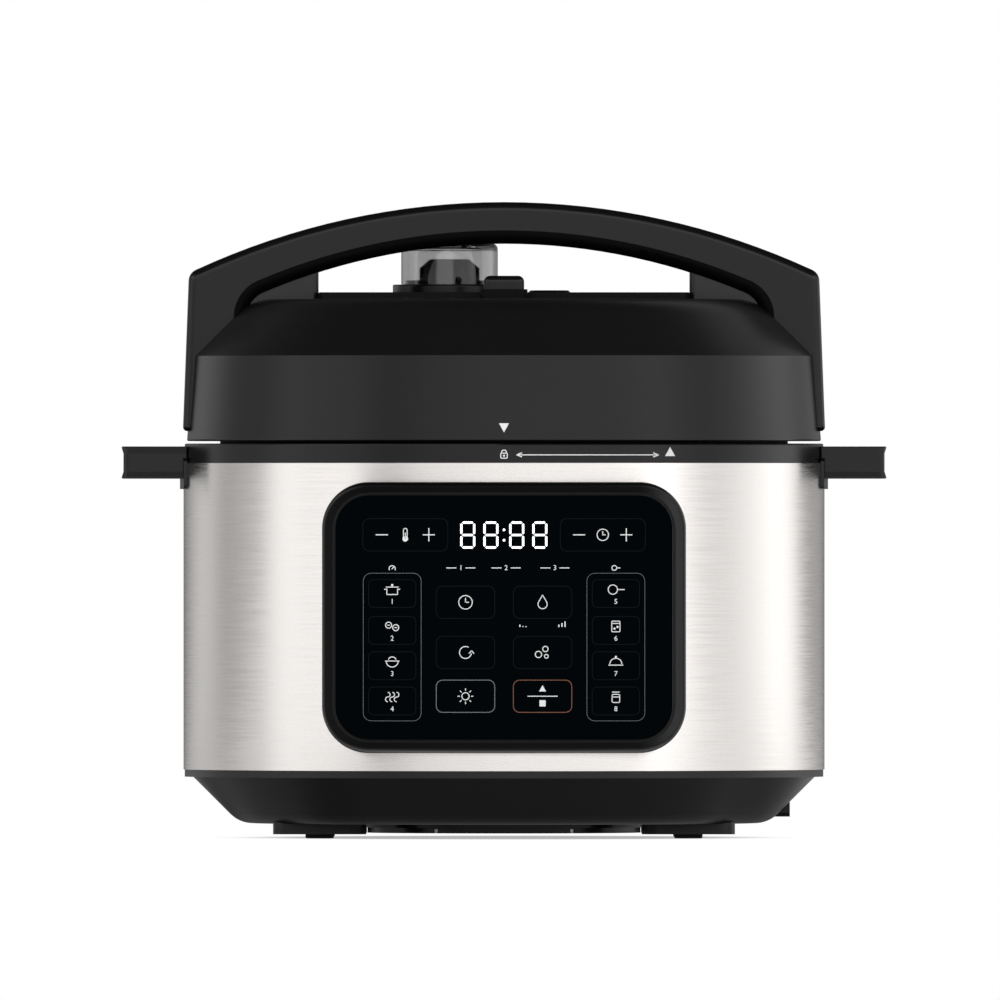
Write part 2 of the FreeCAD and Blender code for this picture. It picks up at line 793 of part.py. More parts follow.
def make_base():
    """Base shell with foot blocks, rubber pads and the service cover."""
    slope = root(S.cone_run * S.cone_run + (S.base_height - S.rim_height) * (S.base_height - S.rim_height))
    rise = S.base_height - S.rim_height
    side = S.base_wall * slope / rise
    shell = turned("base_turning", [
        (floor_hole_radius, floor_z),
        (cone_bottom_radius, floor_z, S.base_round),
        (cone_top_radius, rim_bottom),
        (rim_radius, rim_bottom),
        (rim_radius, band_bottom),
        (cone_bottom_radius + S.base_height * S.cone_run / rise - side, band_bottom),
        (cone_bottom_radius + S.base_wall * S.cone_run / rise - side, floor_top, S.base_round - S.base_wall),
        (floor_hole_radius, floor_top),
    ])
    blocks, recesses, pads = [], [], []
    for side_x in BOTH_SIDES:
        for side_y in BOTH_SIDES:
            x, y = foot_x * side_x, foot_y * side_y
            blocks.append(padded(
                "foot_block", "XY", rectangle(x, y, S.foot_length, S.foot_width, S.foot_round),
                S.pad_proud, S.foot_drop + S.base_wall / 2))
            recesses.append(cylinder("foot_recess", S.pad_radius, S.pad_recess, x, y, S.pad_proud))
            pad = turned("foot_pad", [
                (zero, zero),
                (S.pad_radius - S.fit_gap, zero, S.pad_round),
                (S.pad_radius - S.fit_gap, S.pad_proud + S.pad_recess),
                (zero, S.pad_proud + S.pad_recess),
            ])
            pads.append(place(pad, x, y, 0))
    standoffs = []
    for side_x in BOTH_SIDES:
        for side_y in BOTH_SIDES:
            standoffs.append(cylinder(
                "board_standoff", S.standoff_radius, S.power_board_lift + S.base_wall / 2,
                (S.power_board_width / 2 - S.standoff_inset) * side_x,
                (S.power_board_depth / 2 - S.standoff_inset) * side_y - power_board_y,
                floor_top - S.base_wall / 2))
    window = padded(
        "inlet_window", "YZ",
        rectangle(S.inlet_y, socket_middle, S.inlet_width + S.fit_gap * 2, inlet_height + S.fit_gap * 2),
        inlet_face - S.inlet_depth, S.inlet_depth * 2)
    screw_places = round_places(COVER_SCREWS, floor_hole_radius + S.cover_screw_inset)
    pilots = [cylinder("cover_pilot", S.cover_screw_radius + S.fit_gap, S.base_wall * 2, x, y,
                       floor_z - S.base_wall / 2) for x, y in screw_places]
    solid = fuse("base_solid", shell, *blocks, *standoffs)
    keep(cut("base_cut", solid, *recesses, window, *pilots), "base_shell")
    keep(group("pad_group", pads), "rubber_feet")

    cover_radius = floor_hole_radius + S.cover_overlap
    dish_radius = cover_radius - S.cover_step
    cover = turned("cover_turning", [
        (zero, floor_z - S.cover_drop),
        (dish_radius, floor_z - S.cover_drop),
        (dish_radius, floor_z - S.cover_wall),
        (cover_radius, floor_z - S.cover_wall),
        (cover_radius, floor_z),
        (floor_hole_radius - S.cover_wall, floor_z),
        (floor_hole_radius - S.cover_wall, floor_z - S.cover_drop + S.cover_wall),
        (zero, floor_z - S.cover_drop + S.cover_wall),
    ])
    slots = []
    for row in VENT_SLOT_ROWS:
        slots.append(box("vent_slot", S.vent_slot_length, S.vent_slot_width, S.cover_wall * 2,
                         -S.vent_slot_length / 2, S.vent_slot_pitch * row - S.vent_slot_width / 2,
                         floor_z - S.cover_drop - S.cover_wall / 2))
    head_z = floor_z - S.cover_drop + S.cover_wall
    holes = []
    for x, y in screw_places:
        holes.append(cylinder("cover_hole", S.cover_screw_radius + S.fit_gap, S.cover_drop * 2, x, y,
                              floor_z - S.cover_drop * 1.5))
        holes.append(cylinder("cover_sink", S.cover_head_radius + S.run_gap, S.cover_drop, x, y,
                              head_z - S.cover_drop))
    keep(cut("cover_cut", cover, *slots, *holes), "bottom_cover")
    screws("cover_screws", screw_places, S.cover_head_radius, S.cover_wall - S.run_gap, S.cover_screw_radius,
           S.cover_drop - S.fit_gap * 2, head_z)


def make_band():
    """Brushed steel band with the window for the control panel."""
    inner = S.band_radius - S.band_hem
    wall = turned("band_turning", [
        (S.band_radius, band_bottom),
        (S.band_radius, band_top),
        (inner, band_top),
        (inner, band_top - S.band_wall),
        (S.band_radius - S.band_wall, band_top - S.band_wall),
        (S.band_radius - S.band_wall, band_bottom + S.band_wall),
        (inner, band_bottom + S.band_wall),
        (inner, band_bottom),
    ])
    window = padded(
        "panel_window", "XZ",
        rectangle(zero, panel_middle, S.panel_width - S.window_inset * 2,
                  S.panel_height - S.window_inset * 2, S.window_round),
        S.band_radius / 2, S.band_radius)
    reach = S.band_radius + S.side_reach
    holes = [cylinder("side_hole", S.side_screw_radius + S.run_gap, reach * 2, -reach, S.side_screw_y * row,
                      side_screw_z, "x") for row in BOTH_SIDES]
    keep(cut("band_cut", wall, window, *holes), "steel_band")


def make_ring():
    """Plastic ring that closes the top of the body."""
    bore = neck_radius + S.well_wall + S.fit_gap
    keep(turned("ring_turning", [
        (rim_radius, band_top),
        (rim_radius, ring_top, S.ring_round),
        (bore, ring_top),
        (bore, ring_top - S.ring_plate),
        (rim_radius - S.ring_wall, ring_top - S.ring_plate),
        (rim_radius - S.ring_wall, band_top),
    ]), "top_ring")


side_top = ring_top - S.side_below_rim
side_middle = side_top - S.side_half_height
side_bottom = side_middle - S.side_half_height
side_screw_z = band_top - S.band_wall - S.side_head_radius - S.fit_gap * 2


def make_side_handle(label, side):
    """One side handle: a grip with flared lips round it and a flange against the band."""
    inner = S.band_radius - S.side_root
    outer = S.band_radius + S.side_reach - S.side_lip * tangent(S.side_scoop)
    waist = S.side_half_height - S.side_lip
    corners = rectangle((inner + outer) / 2 * side, zero, outer - inner, S.side_length)
    rounded = [c + (S.side_round,) if abs(c[0].value) > S.band_radius.value else c for c in corners]
    body = doc.addObject("PartDesign::Body", label + "_grip")
    for start, height, slope, downward in (
            (side_middle - waist, waist * 2, zero, False),
            (side_middle + waist, S.side_lip, S.side_scoop, False),
            (side_middle - waist, S.side_lip, S.side_scoop, True)):
        sketch = new_sketch(body, "XY", start)
        draw(sketch, rounded)
        pad = body.newObject("PartDesign::Pad", body.Name + "_pad")
        pad.Profile = sketch
        pad.Reversed = downward
        bind(pad, Length=height, TaperAngle=slope)
    levels = (side_top.value, side_bottom.value)
    round_edges(body, S.side_edge, lambda e: (
        all(min(abs(v.Z - level) for level in levels) < 1e-3 for v in e.Vertexes)
        and abs(e.BoundBox.ZLength) < 1e-3 and abs(middle_of(e).x) > inner.value))
    flange_ring = turned(label + "_flange_ring", [
        (S.band_radius - S.flange_wall * 2, side_bottom - S.flange_drop),
        (S.band_radius + S.flange_wall, side_bottom - S.flange_drop),
        (S.band_radius + S.flange_wall, side_bottom - S.flange_drop + S.flange_height),
        (S.band_radius - S.flange_wall * 2, side_bottom - S.flange_drop + S.flange_height),
    ])
    block = padded(label + "_flange_block", "YZ",
                   rectangle(zero, side_bottom - S.flange_drop + S.flange_height / 2, S.flange_length,
                             S.flange_height, S.flange_drop / 2),
                   inner if side > 0 else -inner - S.side_reach * 2, S.side_reach * 2)
    flange = common(label + "_flange", flange_ring, block)
    bars = [cylinder(label + "_bore", S.side_screw_radius + S.fit_gap, S.side_screw_length + S.fit_gap,
                     (S.band_radius - S.band_hem if side > 0
                      else -(S.band_radius - S.band_hem) - S.side_screw_length - S.fit_gap),
                     S.side_screw_y * row, side_screw_z, "x") for row in BOTH_SIDES]
    body_bore = cylinder(label + "_seat", S.band_radius + S.fit_gap / 2, band_top + S.ring_height * 2)
    solid = fuse(label + "_solid", body, flange)
    keep(cut(label + "_cut", solid, body_bore, *bars), label)


def make_side_screws():
    """Screws that hold the side handles from inside the band."""
    items = []
    for side in BOTH_SIDES:
        for row in BOTH_SIDES:
            start = S.band_radius - S.band_hem
            begin = start if side > 0 else -start - S.side_screw_length
            shank = cylinder("side_shank", S.side_screw_radius, S.side_screw_length, begin,
                             S.side_screw_y * row, side_screw_z, "x")
            head = cylinder("side_head", S.side_head_radius, S.band_hem / 2 - S.band_wall * 2,
                            start if side > 0 else -start - S.band_hem / 2 + S.band_wall * 2,
                            S.side_screw_y * row, side_screw_z, "x")
            items.append(fuse("side_screw", shank, head))
    keep(group("side_screw_group", items), "side_handle_screws")


# Pots, heater and sensor

def make_outer_pot():
    """Metal well that hangs by its flange on the top ring."""
    wall = S.well_wall
    ledge = ring_top - S.well_neck_height
    shell = turned("well_turning", [
        (S.well_hole_radius, well_floor),
        (well_radius + wall, well_floor, S.well_round + wall),
        (well_radius + wall, ledge),
        (neck_radius + wall, ledge),
        (neck_radius + wall, ring_top),
        (lock_radius, ring_top),
        (lock_radius, well_top),
        (neck_radius, well_top),
        (neck_radius, ledge + wall),
        (well_radius, ledge + wall),
        (well_radius, well_floor + wall, S.well_round),
        (S.well_hole_radius, well_floor + wall),
    ])
    holes = [cylinder("terminal_hole", S.terminal_radius + S.run_gap, S.well_wall * 3, x, y,
                      well_floor - S.well_wall) for x, y in terminal_places()]
    keep(cut("well_cut", shell, *holes), "outer_pot")


def make_inner_pot():
    """Loose pot with a turned-out rim."""
    keep(turned("pot_turning", [
        (zero, pot_bottom),
        (pot_outer, pot_bottom, S.pot_round),
        (pot_outer, pot_rim_top - S.pot_rim_thickness),
        (pot_rim_radius, pot_rim_top - S.pot_rim_thickness),
        (pot_rim_radius, pot_rim_top),
        (pot_radius, pot_rim_top),
        (pot_radius, pot_bottom + S.pot_floor, S.pot_round - S.pot_wall),
        (zero, pot_bottom + S.pot_floor),
    ]), "inner_pot")


def terminal_places():
    """Where the two ends of the heater element come down."""
    return [(element_circle * math.cos(math.radians(angle)), element_circle * math.sin(math.radians(angle)))
            for angle in TERMINAL_ANGLES]


def make_heater():
    """Cast heating plate on spacers with the element let into its underside."""
    plate = turned("plate_turning", [
        (S.plate_hole_radius, plate_bottom),
        (plate_radius, plate_bottom),
        (plate_radius, plate_top),
        (S.plate_hole_radius, plate_top),
    ])
    element_z = plate_bottom + S.element_sink
    loops = []
    for name, radius in (("element_groove", S.element_radius + S.fit_gap), ("element_loop", S.element_radius)):
        loop = doc.addObject("Part::Torus", name)
        bind(loop, Radius1=element_circle, Radius2=radius)
        loops.append(place(loop, 0, 0, element_z))
    keep(cut("plate_cut", plate, loops[0]), "heating_plate")
    ends = [cylinder("terminal", S.terminal_radius, S.terminal_drop + S.element_sink, x, y,
                     element_z - S.terminal_drop - S.element_sink) for x, y in terminal_places()]
    floor = box("element_floor", element_circle * 4, element_circle * 4, element_circle,
                -element_circle * 2, -element_circle * 2, well_floor + S.well_wall + S.fit_gap * 3
                - element_circle)
    flat_loop = cut("element_flat", loops[1], floor)
    keep(fuse("element_solid", flat_loop, *ends), "heater_element")
    spacers = [cylinder("plate_spacer", S.spacer_radius, S.plate_lift, x, y, well_floor + S.well_wall)
               for x, y in round_places(PLATE_SPACERS, plate_radius - S.spacer_inset, 90.0)]
    keep(group("spacer_group", spacers), "plate_spacers")


def make_sensor():
    """Sprung sensor in the middle of the heating plate, with its bracket."""
    top = plate_top
    low = top - S.sensor_thickness
    sensor = turned("sensor_turning", [
        (zero, low - S.sensor_stem_length),
        (S.sensor_stem_radius, low - S.sensor_stem_length),
        (S.sensor_stem_radius, low),
        (S.sensor_radius, low),
        (S.sensor_radius, top),
        (zero, top),
    ])
    keep(sensor, "temperature_sensor")
    bridge_top = well_floor - S.bracket_drop + S.bracket_wall
    half, tab, wall = S.bracket_half_span, S.bracket_tab, S.bracket_wall
    outer = half + tab
    strip = padded("bracket_strip", "XZ", [
        (-half - wall, bridge_top - wall),
        (half + wall, bridge_top - wall),
        (half + wall, well_floor - wall),
        (outer, well_floor - wall),
        (outer, well_floor),
        (half, well_floor),
        (half, bridge_top),
        (-half, bridge_top),
        (-half, well_floor),
        (-outer, well_floor),
        (-outer, well_floor - wall),
        (-half - wall, well_floor - wall),
    ], 0, S.bracket_width, middle=True)
    bore = cylinder("bracket_bore", S.sensor_stem_radius + S.run_gap, S.bracket_wall * 3, 0, 0,
                    bridge_top - S.bracket_wall * 2)
    keep(cut("bracket_cut", strip, bore), "sensor_bracket")
    spring = coil("sensor_coil", S.sensor_stem_radius.value + 2 * S.spring_wire.value, S.spring_wire.value,
                  SENSOR_SPRING_TURNS, bridge_top.value, low.value)
    keep(spring, "sensor_spring")


def make_locking_ring():
    """Ring with inward lugs that holds the lid down."""
    outer, wall = lock_radius, S.lock_wall
    ring = turned("lock_turning", [
        (outer - S.lock_foot, well_top),
        (outer, well_top),
        (outer, lock_top),
        (outer - wall, lock_top),
        (outer - wall, well_top + wall),
        (outer - S.lock_foot, well_top + wall),
    ])
    add_lugs(ring, [
        (outer - wall - S.lug_reach, lock_top - S.lug_thickness),
        (outer - wall / 2, lock_top - S.lug_thickness),
        (outer - wall / 2, lock_top),
        (outer - wall - S.lug_reach, lock_top),
    ], S.lug_angle, S.lug_count)
    keep(place(ring, turn=180 / S.lug_count), "locking_ring")


# Lid

def lid_outline(inside):
    """Outside of dome and skirt, closed along the axis or by the corners given."""
    return [
        (skirt_top_radius, skirt_top),
        (dome_top_radius, dome_top, S.dome_round),
        (zero, dome_top),
    ] + inside


def make_lid_shells():
    """Dome, skirt and the pressed steel lid under them."""
    run = skirt_top_radius - dome_top_radius
    side = S.dome_wall * root(run * run + S.dome_height * S.dome_height) / S.dome_height
    spigot_outer = skirt_top_radius - S.skirt_wall - S.fit_gap
    spigot_inner = spigot_outer - S.spigot_wall
    cone_foot = skirt_top_radius - side
    dome = turned("dome_turning", lid_outline([
        (zero, dome_inside),
        (cone_foot - (S.dome_height - S.dome_wall) * run / S.dome_height, dome_inside,
         S.dome_round - S.dome_wall),
        (spigot_inner, skirt_top + (cone_foot - spigot_inner) * S.dome_height / run),
        (spigot_inner, skirt_top - S.spigot_height),
        (spigot_outer, skirt_top - S.spigot_height),
        (spigot_outer, skirt_top),
    ]))
    post_places = round_places(LID_POSTS, inner_lid_top_radius - S.post_inset, 180.0 / LID_POSTS)
    posts = [cylinder("lid_post", S.post_radius, dome_inside - inner_lid_top + S.dome_wall / 2, x, y,
                      inner_lid_top) for x, y in post_places]
    pilots = [cylinder("post_pilot", S.lid_screw_radius + S.fit_gap, S.lid_screw_reach + S.inner_lid_wall, x, y,
                       inner_lid_inside) for x, y in post_places]
    tall = S.dome_wall * 3
    low = dome_inside - S.dome_wall
    holes = [
        cylinder("dome_pipe_hole", S.pipe_radius + S.run_gap, tall, -S.valve_x, S.valve_y, low),
        cylinder("dome_pin_hole", S.lift_pin_radius + S.run_gap, tall, lift_pin_x, lift_pin_y, low),
        cylinder("dome_float_hole", S.float_stem_radius + S.run_gap * 2, tall, S.float_x, S.float_y, low),
        box("dome_button_hole", S.button_width + S.run_gap * 2, S.button_depth + S.run_gap * 2, tall,
            -S.button_width / 2 - S.run_gap, -S.button_y - S.button_depth / 2 - S.run_gap, low),
    ]
    holes += [cylinder("dome_tower_hole", S.tower_screw_radius + S.fit_gap * 2, tall, x, y, low)
              for side in BOTH_SIDES for x, y in tower_screw_places(side)]
    keep(cut("dome_cut", fuse("dome_solid", dome, *posts), *pilots, *holes), "lid_cover")

    keep(turned("skirt_turning", [
        (skirt_bottom_radius - S.skirt_wall, skirt_bottom),
        (skirt_bottom_radius, skirt_bottom, S.skirt_round),
        (skirt_top_radius, skirt_top),
        (skirt_top_radius - S.skirt_wall, skirt_top),
    ]), "lid_skirt")

    wall, rise, lid_run = S.inner_lid_wall, S.inner_lid_rise, S.inner_lid_run
    shift = wall * root(lid_run * lid_run + rise * rise) / rise
    foot_radius = inner_lid_top_radius + lid_run
    pressing = turned("inner_lid_turning", [
        (zero, inner_lid_inside),
        (inner_lid_top_radius, inner_lid_inside, S.inner_lid_round),
        (foot_radius, inner_lid_under),
        (inner_lid_radius - wall, inner_lid_under),
        (inner_lid_radius - wall, lid_lug_top - S.lug_thickness),
        (inner_lid_radius, lid_lug_top - S.lug_thickness),
        (inner_lid_radius, inner_lid_under + wall),
        (foot_radius + shift - wall * lid_run / rise, inner_lid_under + wall),
        (inner_lid_top_radius + shift - wall * lid_run / rise, inner_lid_top, S.inner_lid_round + wall),
        (zero, inner_lid_top),
    ][::-1])
    add_lugs(pressing, [
        (inner_lid_radius - wall / 2, lid_lug_top - S.lug_thickness),
        (inner_lid_radius + S.lid_lug_reach, lid_lug_top - S.lug_thickness),
        (inner_lid_radius + S.lid_lug_reach, lid_lug_top),
        (inner_lid_radius - wall / 2, lid_lug_top),
    ], S.lug_angle - S.lug_slack, S.lug_count)
    tall, low = wall * 4, inner_lid_inside - wall
    holes = [
        cylinder("lid_pipe_hole", S.pipe_radius + S.fit_gap, tall, -S.valve_x, S.valve_y, low),
        cylinder("lid_float_hole", S.float_stem_radius + S.run_gap, tall, S.float_x, S.float_y, low),
    ]
    holes += [cylinder("lid_screw_hole", S.lid_screw_radius + S.fit_gap * 2, tall, x, y, low)
              for x, y in post_places]
    keep(cut("inner_lid_cut", pressing, *holes), "inner_lid")
    screws("lid_screws", post_places, S.lid_head_radius, S.lid_head_height, S.lid_screw_radius,
           S.lid_screw_reach, inner_lid_inside)

    seal_outer = inner_lid_radius - wall - S.run_gap
    seal_inner = seal_outer - S.seal_width
    seal_low = pot_rim_top + S.run_gap
    keep(turned("seal_turning", [
        (seal_inner, seal_low),
        (seal_outer, seal_low),
        (seal_outer, seal_top),
        (seal_inner, seal_top),
        (seal_inner, seal_top - S.seal_lip_height),
        (seal_inner + S.seal_lip, seal_low + S.seal_height / 2),
        (seal_inner, seal_low + S.seal_lip_height),
    ]), "sealing_ring")
    rack_outer = seal_inner - S.run_gap - S.rack_foot / 2
    keep(turned("rack_turning", [
        (rack_outer - S.rack_wall, inner_lid_under - S.rack_height),
        (rack_outer - S.rack_wall + S.rack_foot, inner_lid_under - S.rack_height),
        (rack_outer - S.rack_wall + S.rack_foot, inner_lid_under - S.rack_height + S.rack_wall),
        (rack_outer, inner_lid_under - S.rack_height + S.rack_wall),
        (rack_outer, inner_lid_under),
        (rack_outer - S.rack_wall, inner_lid_under),
    ]), "seal_rack")


def tower_screw_places(side):
    """Where the screws come up through the dome into one handle tower."""
    return [((tower_x + S.tower_screw_inset) * side, S.tower_screw_y * row) for row in BOTH_SIDES]


def gap_loop(grow):
    """Outline of the finger gap under the handle, grown by a thickness."""
    half = gap_half + grow
    radius = grip_radius + grow
    shoulder = gap_top + grow - radius + root(radius * radius - half * half)
    low = gap_bottom - grow
    return [(-half, low), (half, low), (half, shoulder), (-half, shoulder)], {2: radius}


def upright_corner(half, level):
    """Test for the edges across the handle at a corner of the finger gap."""
    def wanted(edge):
        point = middle_of(edge)
        return runs_along(edge, Vector(0, 1, 0)) and abs(abs(point.x) - half) < 0.01 and point.z > level
    return wanted


def make_handle():
    """Arched carrying handle: shell, dark liner below it and two towers on the dome."""
    envelope = lid_outline([(zero, skirt_bottom), (skirt_bottom_radius, skirt_bottom)])
    shoulder = arch_top - arch_radius + root(arch_radius * arch_radius - arch_half * arch_half)
    leg_end = skirt_bottom + S.leg_clear
    leg_half = skirt_top_radius + S.leg_proud
    outline = [(-leg_half, leg_end), (leg_half, leg_end), (arch_half, shoulder), (-arch_half, shoulder)]
    face = S.handle_depth.value / 2

    def on_face(edge):
        return abs(abs(middle_of(edge).y) - face) < 1e-3 and edge.BoundBox.YLength < 1e-3

    liner_half = (gap_half + S.liner_thickness).value
    shell = padded("handle_arch", "XZ", outline, 0, S.handle_depth, {2: arch_radius},
                   [gap_loop(S.liner_thickness)], middle=True)
    round_edges(shell, S.arch_corner, upright_corner(arch_half.value, shoulder.value - 1))
    round_edges(shell, S.leg_corner, upright_corner(leg_half.value, leg_end.value - 1))
    round_edges(shell, S.gap_corner + S.liner_thickness, upright_corner(liner_half, gap_bottom.value + 1))
    round_edges(shell, S.handle_edge, lambda e: on_face(e) and (
        middle_of(e).z > arch_top.value - 1 or abs(middle_of(e).x) > liner_half + 5)
        and middle_of(e).z > leg_end.value + 1)
    keep(cut("handle_shell_cut", shell, turned("shell_envelope", envelope)), "handle_shell")

    loop, bows = gap_loop(S.liner_thickness)
    liner = padded("handle_underside", "XZ", loop, 0, S.handle_depth, bows, [gap_loop(zero)], middle=True)
    round_edges(liner, S.gap_corner, upright_corner(gap_half.value, gap_bottom.value + 1))
    round_edges(liner, S.gap_corner + S.liner_thickness, upright_corner(liner_half, gap_bottom.value + 1))
    inner_limit = gap_top.value + S.liner_thickness.value / 2
    inner_radius = grip_radius.value + S.liner_thickness.value / 2

    def inside_gap(edge):
        point = middle_of(edge)
        below = math.hypot(point.x, point.z - inner_limit + inner_radius) < inner_radius
        return on_face(edge) and below and abs(point.x) < liner_half - 2 and point.z > gap_bottom.value + 1

    round_edges(liner, S.liner_edge, inside_gap)
    keep(cut("handle_liner_cut", liner, turned("liner_envelope", envelope)), "handle_liner")

    radius = grip_radius
    top_inner = gap_top - radius + root(radius * radius - tower_x * tower_x)
    top_outer = gap_top - radius + root(radius * radius - gap_half * gap_half)
    for label, side in (("handle_tower_left", -1), ("handle_tower_right", 1)):
        corners = [(tower_x, gap_bottom), (gap_half, gap_bottom), (gap_half, top_outer),
                   (tower_x, top_inner)]
        if side < 0:
            corners = [(-gap_half, gap_bottom), (-tower_x, gap_bottom), (-tower_x, top_inner),
                       (-gap_half, top_outer)]
        tower = padded(label + "_block", "XZ", corners, 0, S.tower_depth, {2: radius}, middle=True)
        round_edges(tower, S.gap_corner, upright_corner(gap_half.value, gap_bottom.value + 1))
        round_edges(tower, S.tower_edge, lambda e: runs_along(e, Vector(0, 0, 1))
                    and abs(abs(middle_of(e).x) - tower_x.value) < 0.01)
        bores = [cylinder(label + "_bore", S.tower_screw_radius + S.fit_gap, S.tower_screw_reach * 2, x, y,
                          dome_top - S.tower_screw_reach) for x, y in tower_screw_places(side)]
        keep(cut(label + "_cut", tower, turned(label + "_envelope", envelope), *bores), label)
    screws("tower_screws", tower_screw_places(-1) + tower_screw_places(1), S.tower_head_radius,
           S.tower_head_height, S.tower_screw_radius, S.dome_wall + S.tower_screw_reach - S.run_gap,
           dome_inside)


def make_deck():
    """Raised plate on the dome that carries the valves, and the collar of the button."""
    half = tower_x - S.run_gap
    plate = padded("deck_plate", "XY", [
        (-half, -S.deck_front, S.deck_nose),
        (half, -S.deck_front, S.deck_nose),
        (half, S.deck_back, S.deck_round),
        (-half, S.deck_back, S.deck_round),
    ], dome_top, S.deck_thickness)
    tall, low = S.deck_thickness * 3, dome_top - S.deck_thickness
    keep(cut("deck_cut", plate,
             cylinder("deck_pipe_hole", S.pipe_radius + S.run_gap, tall, -S.valve_x, S.valve_y, low),
             cylinder("deck_pin_hole", S.lift_pin_radius + S.run_gap, tall, lift_pin_x, lift_pin_y, low),
             cylinder("deck_float_hole", S.float_sleeve_radius + S.fit_gap, tall, S.float_x, S.float_y, low)),
         "lid_deck")
    inner_width = S.button_width + S.run_gap * 2
    inner_depth = S.button_depth + S.run_gap * 2
    ring = padded("collar_ring", "XY",
                  rectangle(zero, -S.button_y, inner_width + S.collar_wall * 2,
                            inner_depth + S.collar_wall * 2, S.button_round + S.collar_wall),
                  dome_top, S.collar_height,
                  holes=[(rectangle(zero, -S.button_y, inner_width, inner_depth, S.button_round), None)])
    keep(ring, "button_collar")


def make_steam_valve():
    """Vent pipe, its nut and shield, the valve base, the weight and the see-through cap."""
    x, y = -S.valve_x, S.valve_y
    tail = inner_lid_inside - S.pipe_tail
    pipe_top = valve_base_top + S.pipe_proud
    keep(place(turned("pipe_turning", [
        (S.pipe_bore, tail),
        (S.pipe_radius, tail),
        (S.pipe_radius, inner_lid_top),
        (S.pipe_collar_radius, inner_lid_top),
        (S.pipe_collar_radius, inner_lid_top + S.pipe_collar_height),
        (S.pipe_radius, inner_lid_top + S.pipe_collar_height),
        (S.pipe_radius, pipe_top - S.pipe_bore),
        (S.pipe_radius - S.pipe_bore, pipe_top),
        (S.pipe_bore, pipe_top),
    ]), x, y), "vent_pipe")
    nut = doc.addObject("Part::Prism", "nut_prism")
    nut.Polygon = 6
    bind(nut, Circumradius=S.nut_radius, Height=S.nut_height)
    place(nut, x, y, inner_lid_inside - S.nut_height)
    nut_bore = cylinder("nut_bore", S.pipe_radius + S.fit_gap, S.nut_height * 2, x, y,
                        inner_lid_inside - S.nut_height * 1.5)
    keep(cut("nut_cut", nut, nut_bore), "vent_nut")
    shield_low = inner_lid_inside - S.shield_height
    shield = place(turned("shield_turning", [
        (zero, shield_low),
        (S.shield_radius, shield_low),
        (S.shield_radius, inner_lid_inside),
        (S.shield_radius - S.shield_wall, inner_lid_inside),
        (S.shield_radius - S.shield_wall, shield_low + S.shield_wall),
        (zero, shield_low + S.shield_wall),
    ]), x, y)
    windows = []
    for dx, dy in round_places(SHIELD_WINDOWS, S.shield_radius):
        windows.append(cylinder("shield_window", S.shield_window_radius, S.shield_window_height, x + dx, y + dy,
                                shield_low + S.shield_wall * 3))
    keep(cut("shield_cut", shield, *windows), "vent_shield")

    lip = S.cap_radius - S.cap_wall - S.run_gap
    base = place(turned("valve_base_turning", [
        (S.pipe_radius + S.fit_gap, deck_top),
        (S.valve_base_radius, deck_top),
        (S.valve_base_radius, valve_base_top, S.skirt_round),
        (lip, valve_base_top),
        (lip, valve_base_top + S.valve_lip_height),
        (lip - S.valve_lip_wall, valve_base_top + S.valve_lip_height),
        (lip - S.valve_lip_wall, valve_base_top),
        (S.pipe_radius + S.fit_gap, valve_base_top),
    ]), x, y)
    keep(cut("valve_base_cut", base,
             cylinder("base_pin_hole", S.lift_pin_radius + S.run_gap / 2, S.valve_base_height * 3, lift_pin_x,
                      lift_pin_y, deck_top - S.valve_base_height)), "valve_base")

    weight_low = pipe_top + S.run_gap - S.pipe_proud
    bore = S.pipe_radius + S.run_gap * 2
    weight = place(turned("weight_turning", [
        (bore, weight_low),
        (S.weight_radius, weight_low),
        (S.weight_radius, weight_low + S.weight_shoulder),
        (S.weight_top_radius, weight_low + S.weight_height),
        (zero, weight_low + S.weight_height),
        (zero, pipe_top + S.run_gap),
        (bore, pipe_top + S.run_gap),
    ]), x, y)
    flutes = []
    for dx, dy in round_places(WEIGHT_FLUTES, S.weight_radius + S.flute_offset, 180.0 / WEIGHT_FLUTES):
        flutes.append(cylinder("weight_flute", S.weight_flute, S.weight_height, x + dx, y + dy,
                               weight_low + S.flute_foot))
    keep(cut("weight_cut", weight, *flutes), "pressure_weight")

    cap_low = valve_base_top + S.fit_gap
    cap_high = cap_low + S.cap_height
    inner = S.cap_radius - S.cap_wall
    cap = place(turned("cap_turning", [
        (inner, cap_low),
        (S.cap_radius, cap_low),
        (S.cap_radius, cap_high, S.cap_round),
        (zero, cap_high),
        (zero, cap_high - S.cap_top),
        (inner, cap_high - S.cap_top, S.cap_round / 2),
    ]), x, y)
    slots = []
    for i in range(CAP_SLOTS):
        slot = box("cap_slot", S.cap_slot_length, S.cap_slot_width, S.cap_top * 3,
                   S.cap_slot_circle - S.cap_slot_length / 2, -S.cap_slot_width / 2, cap_high - S.cap_top * 2)
        holder = group("cap_slot_arm", [slot])
        slots.append(place(holder, x, y, 0, as_size(360.0 * i / CAP_SLOTS)))
    keep(cut("cap_cut", cap, *slots), "steam_cap")


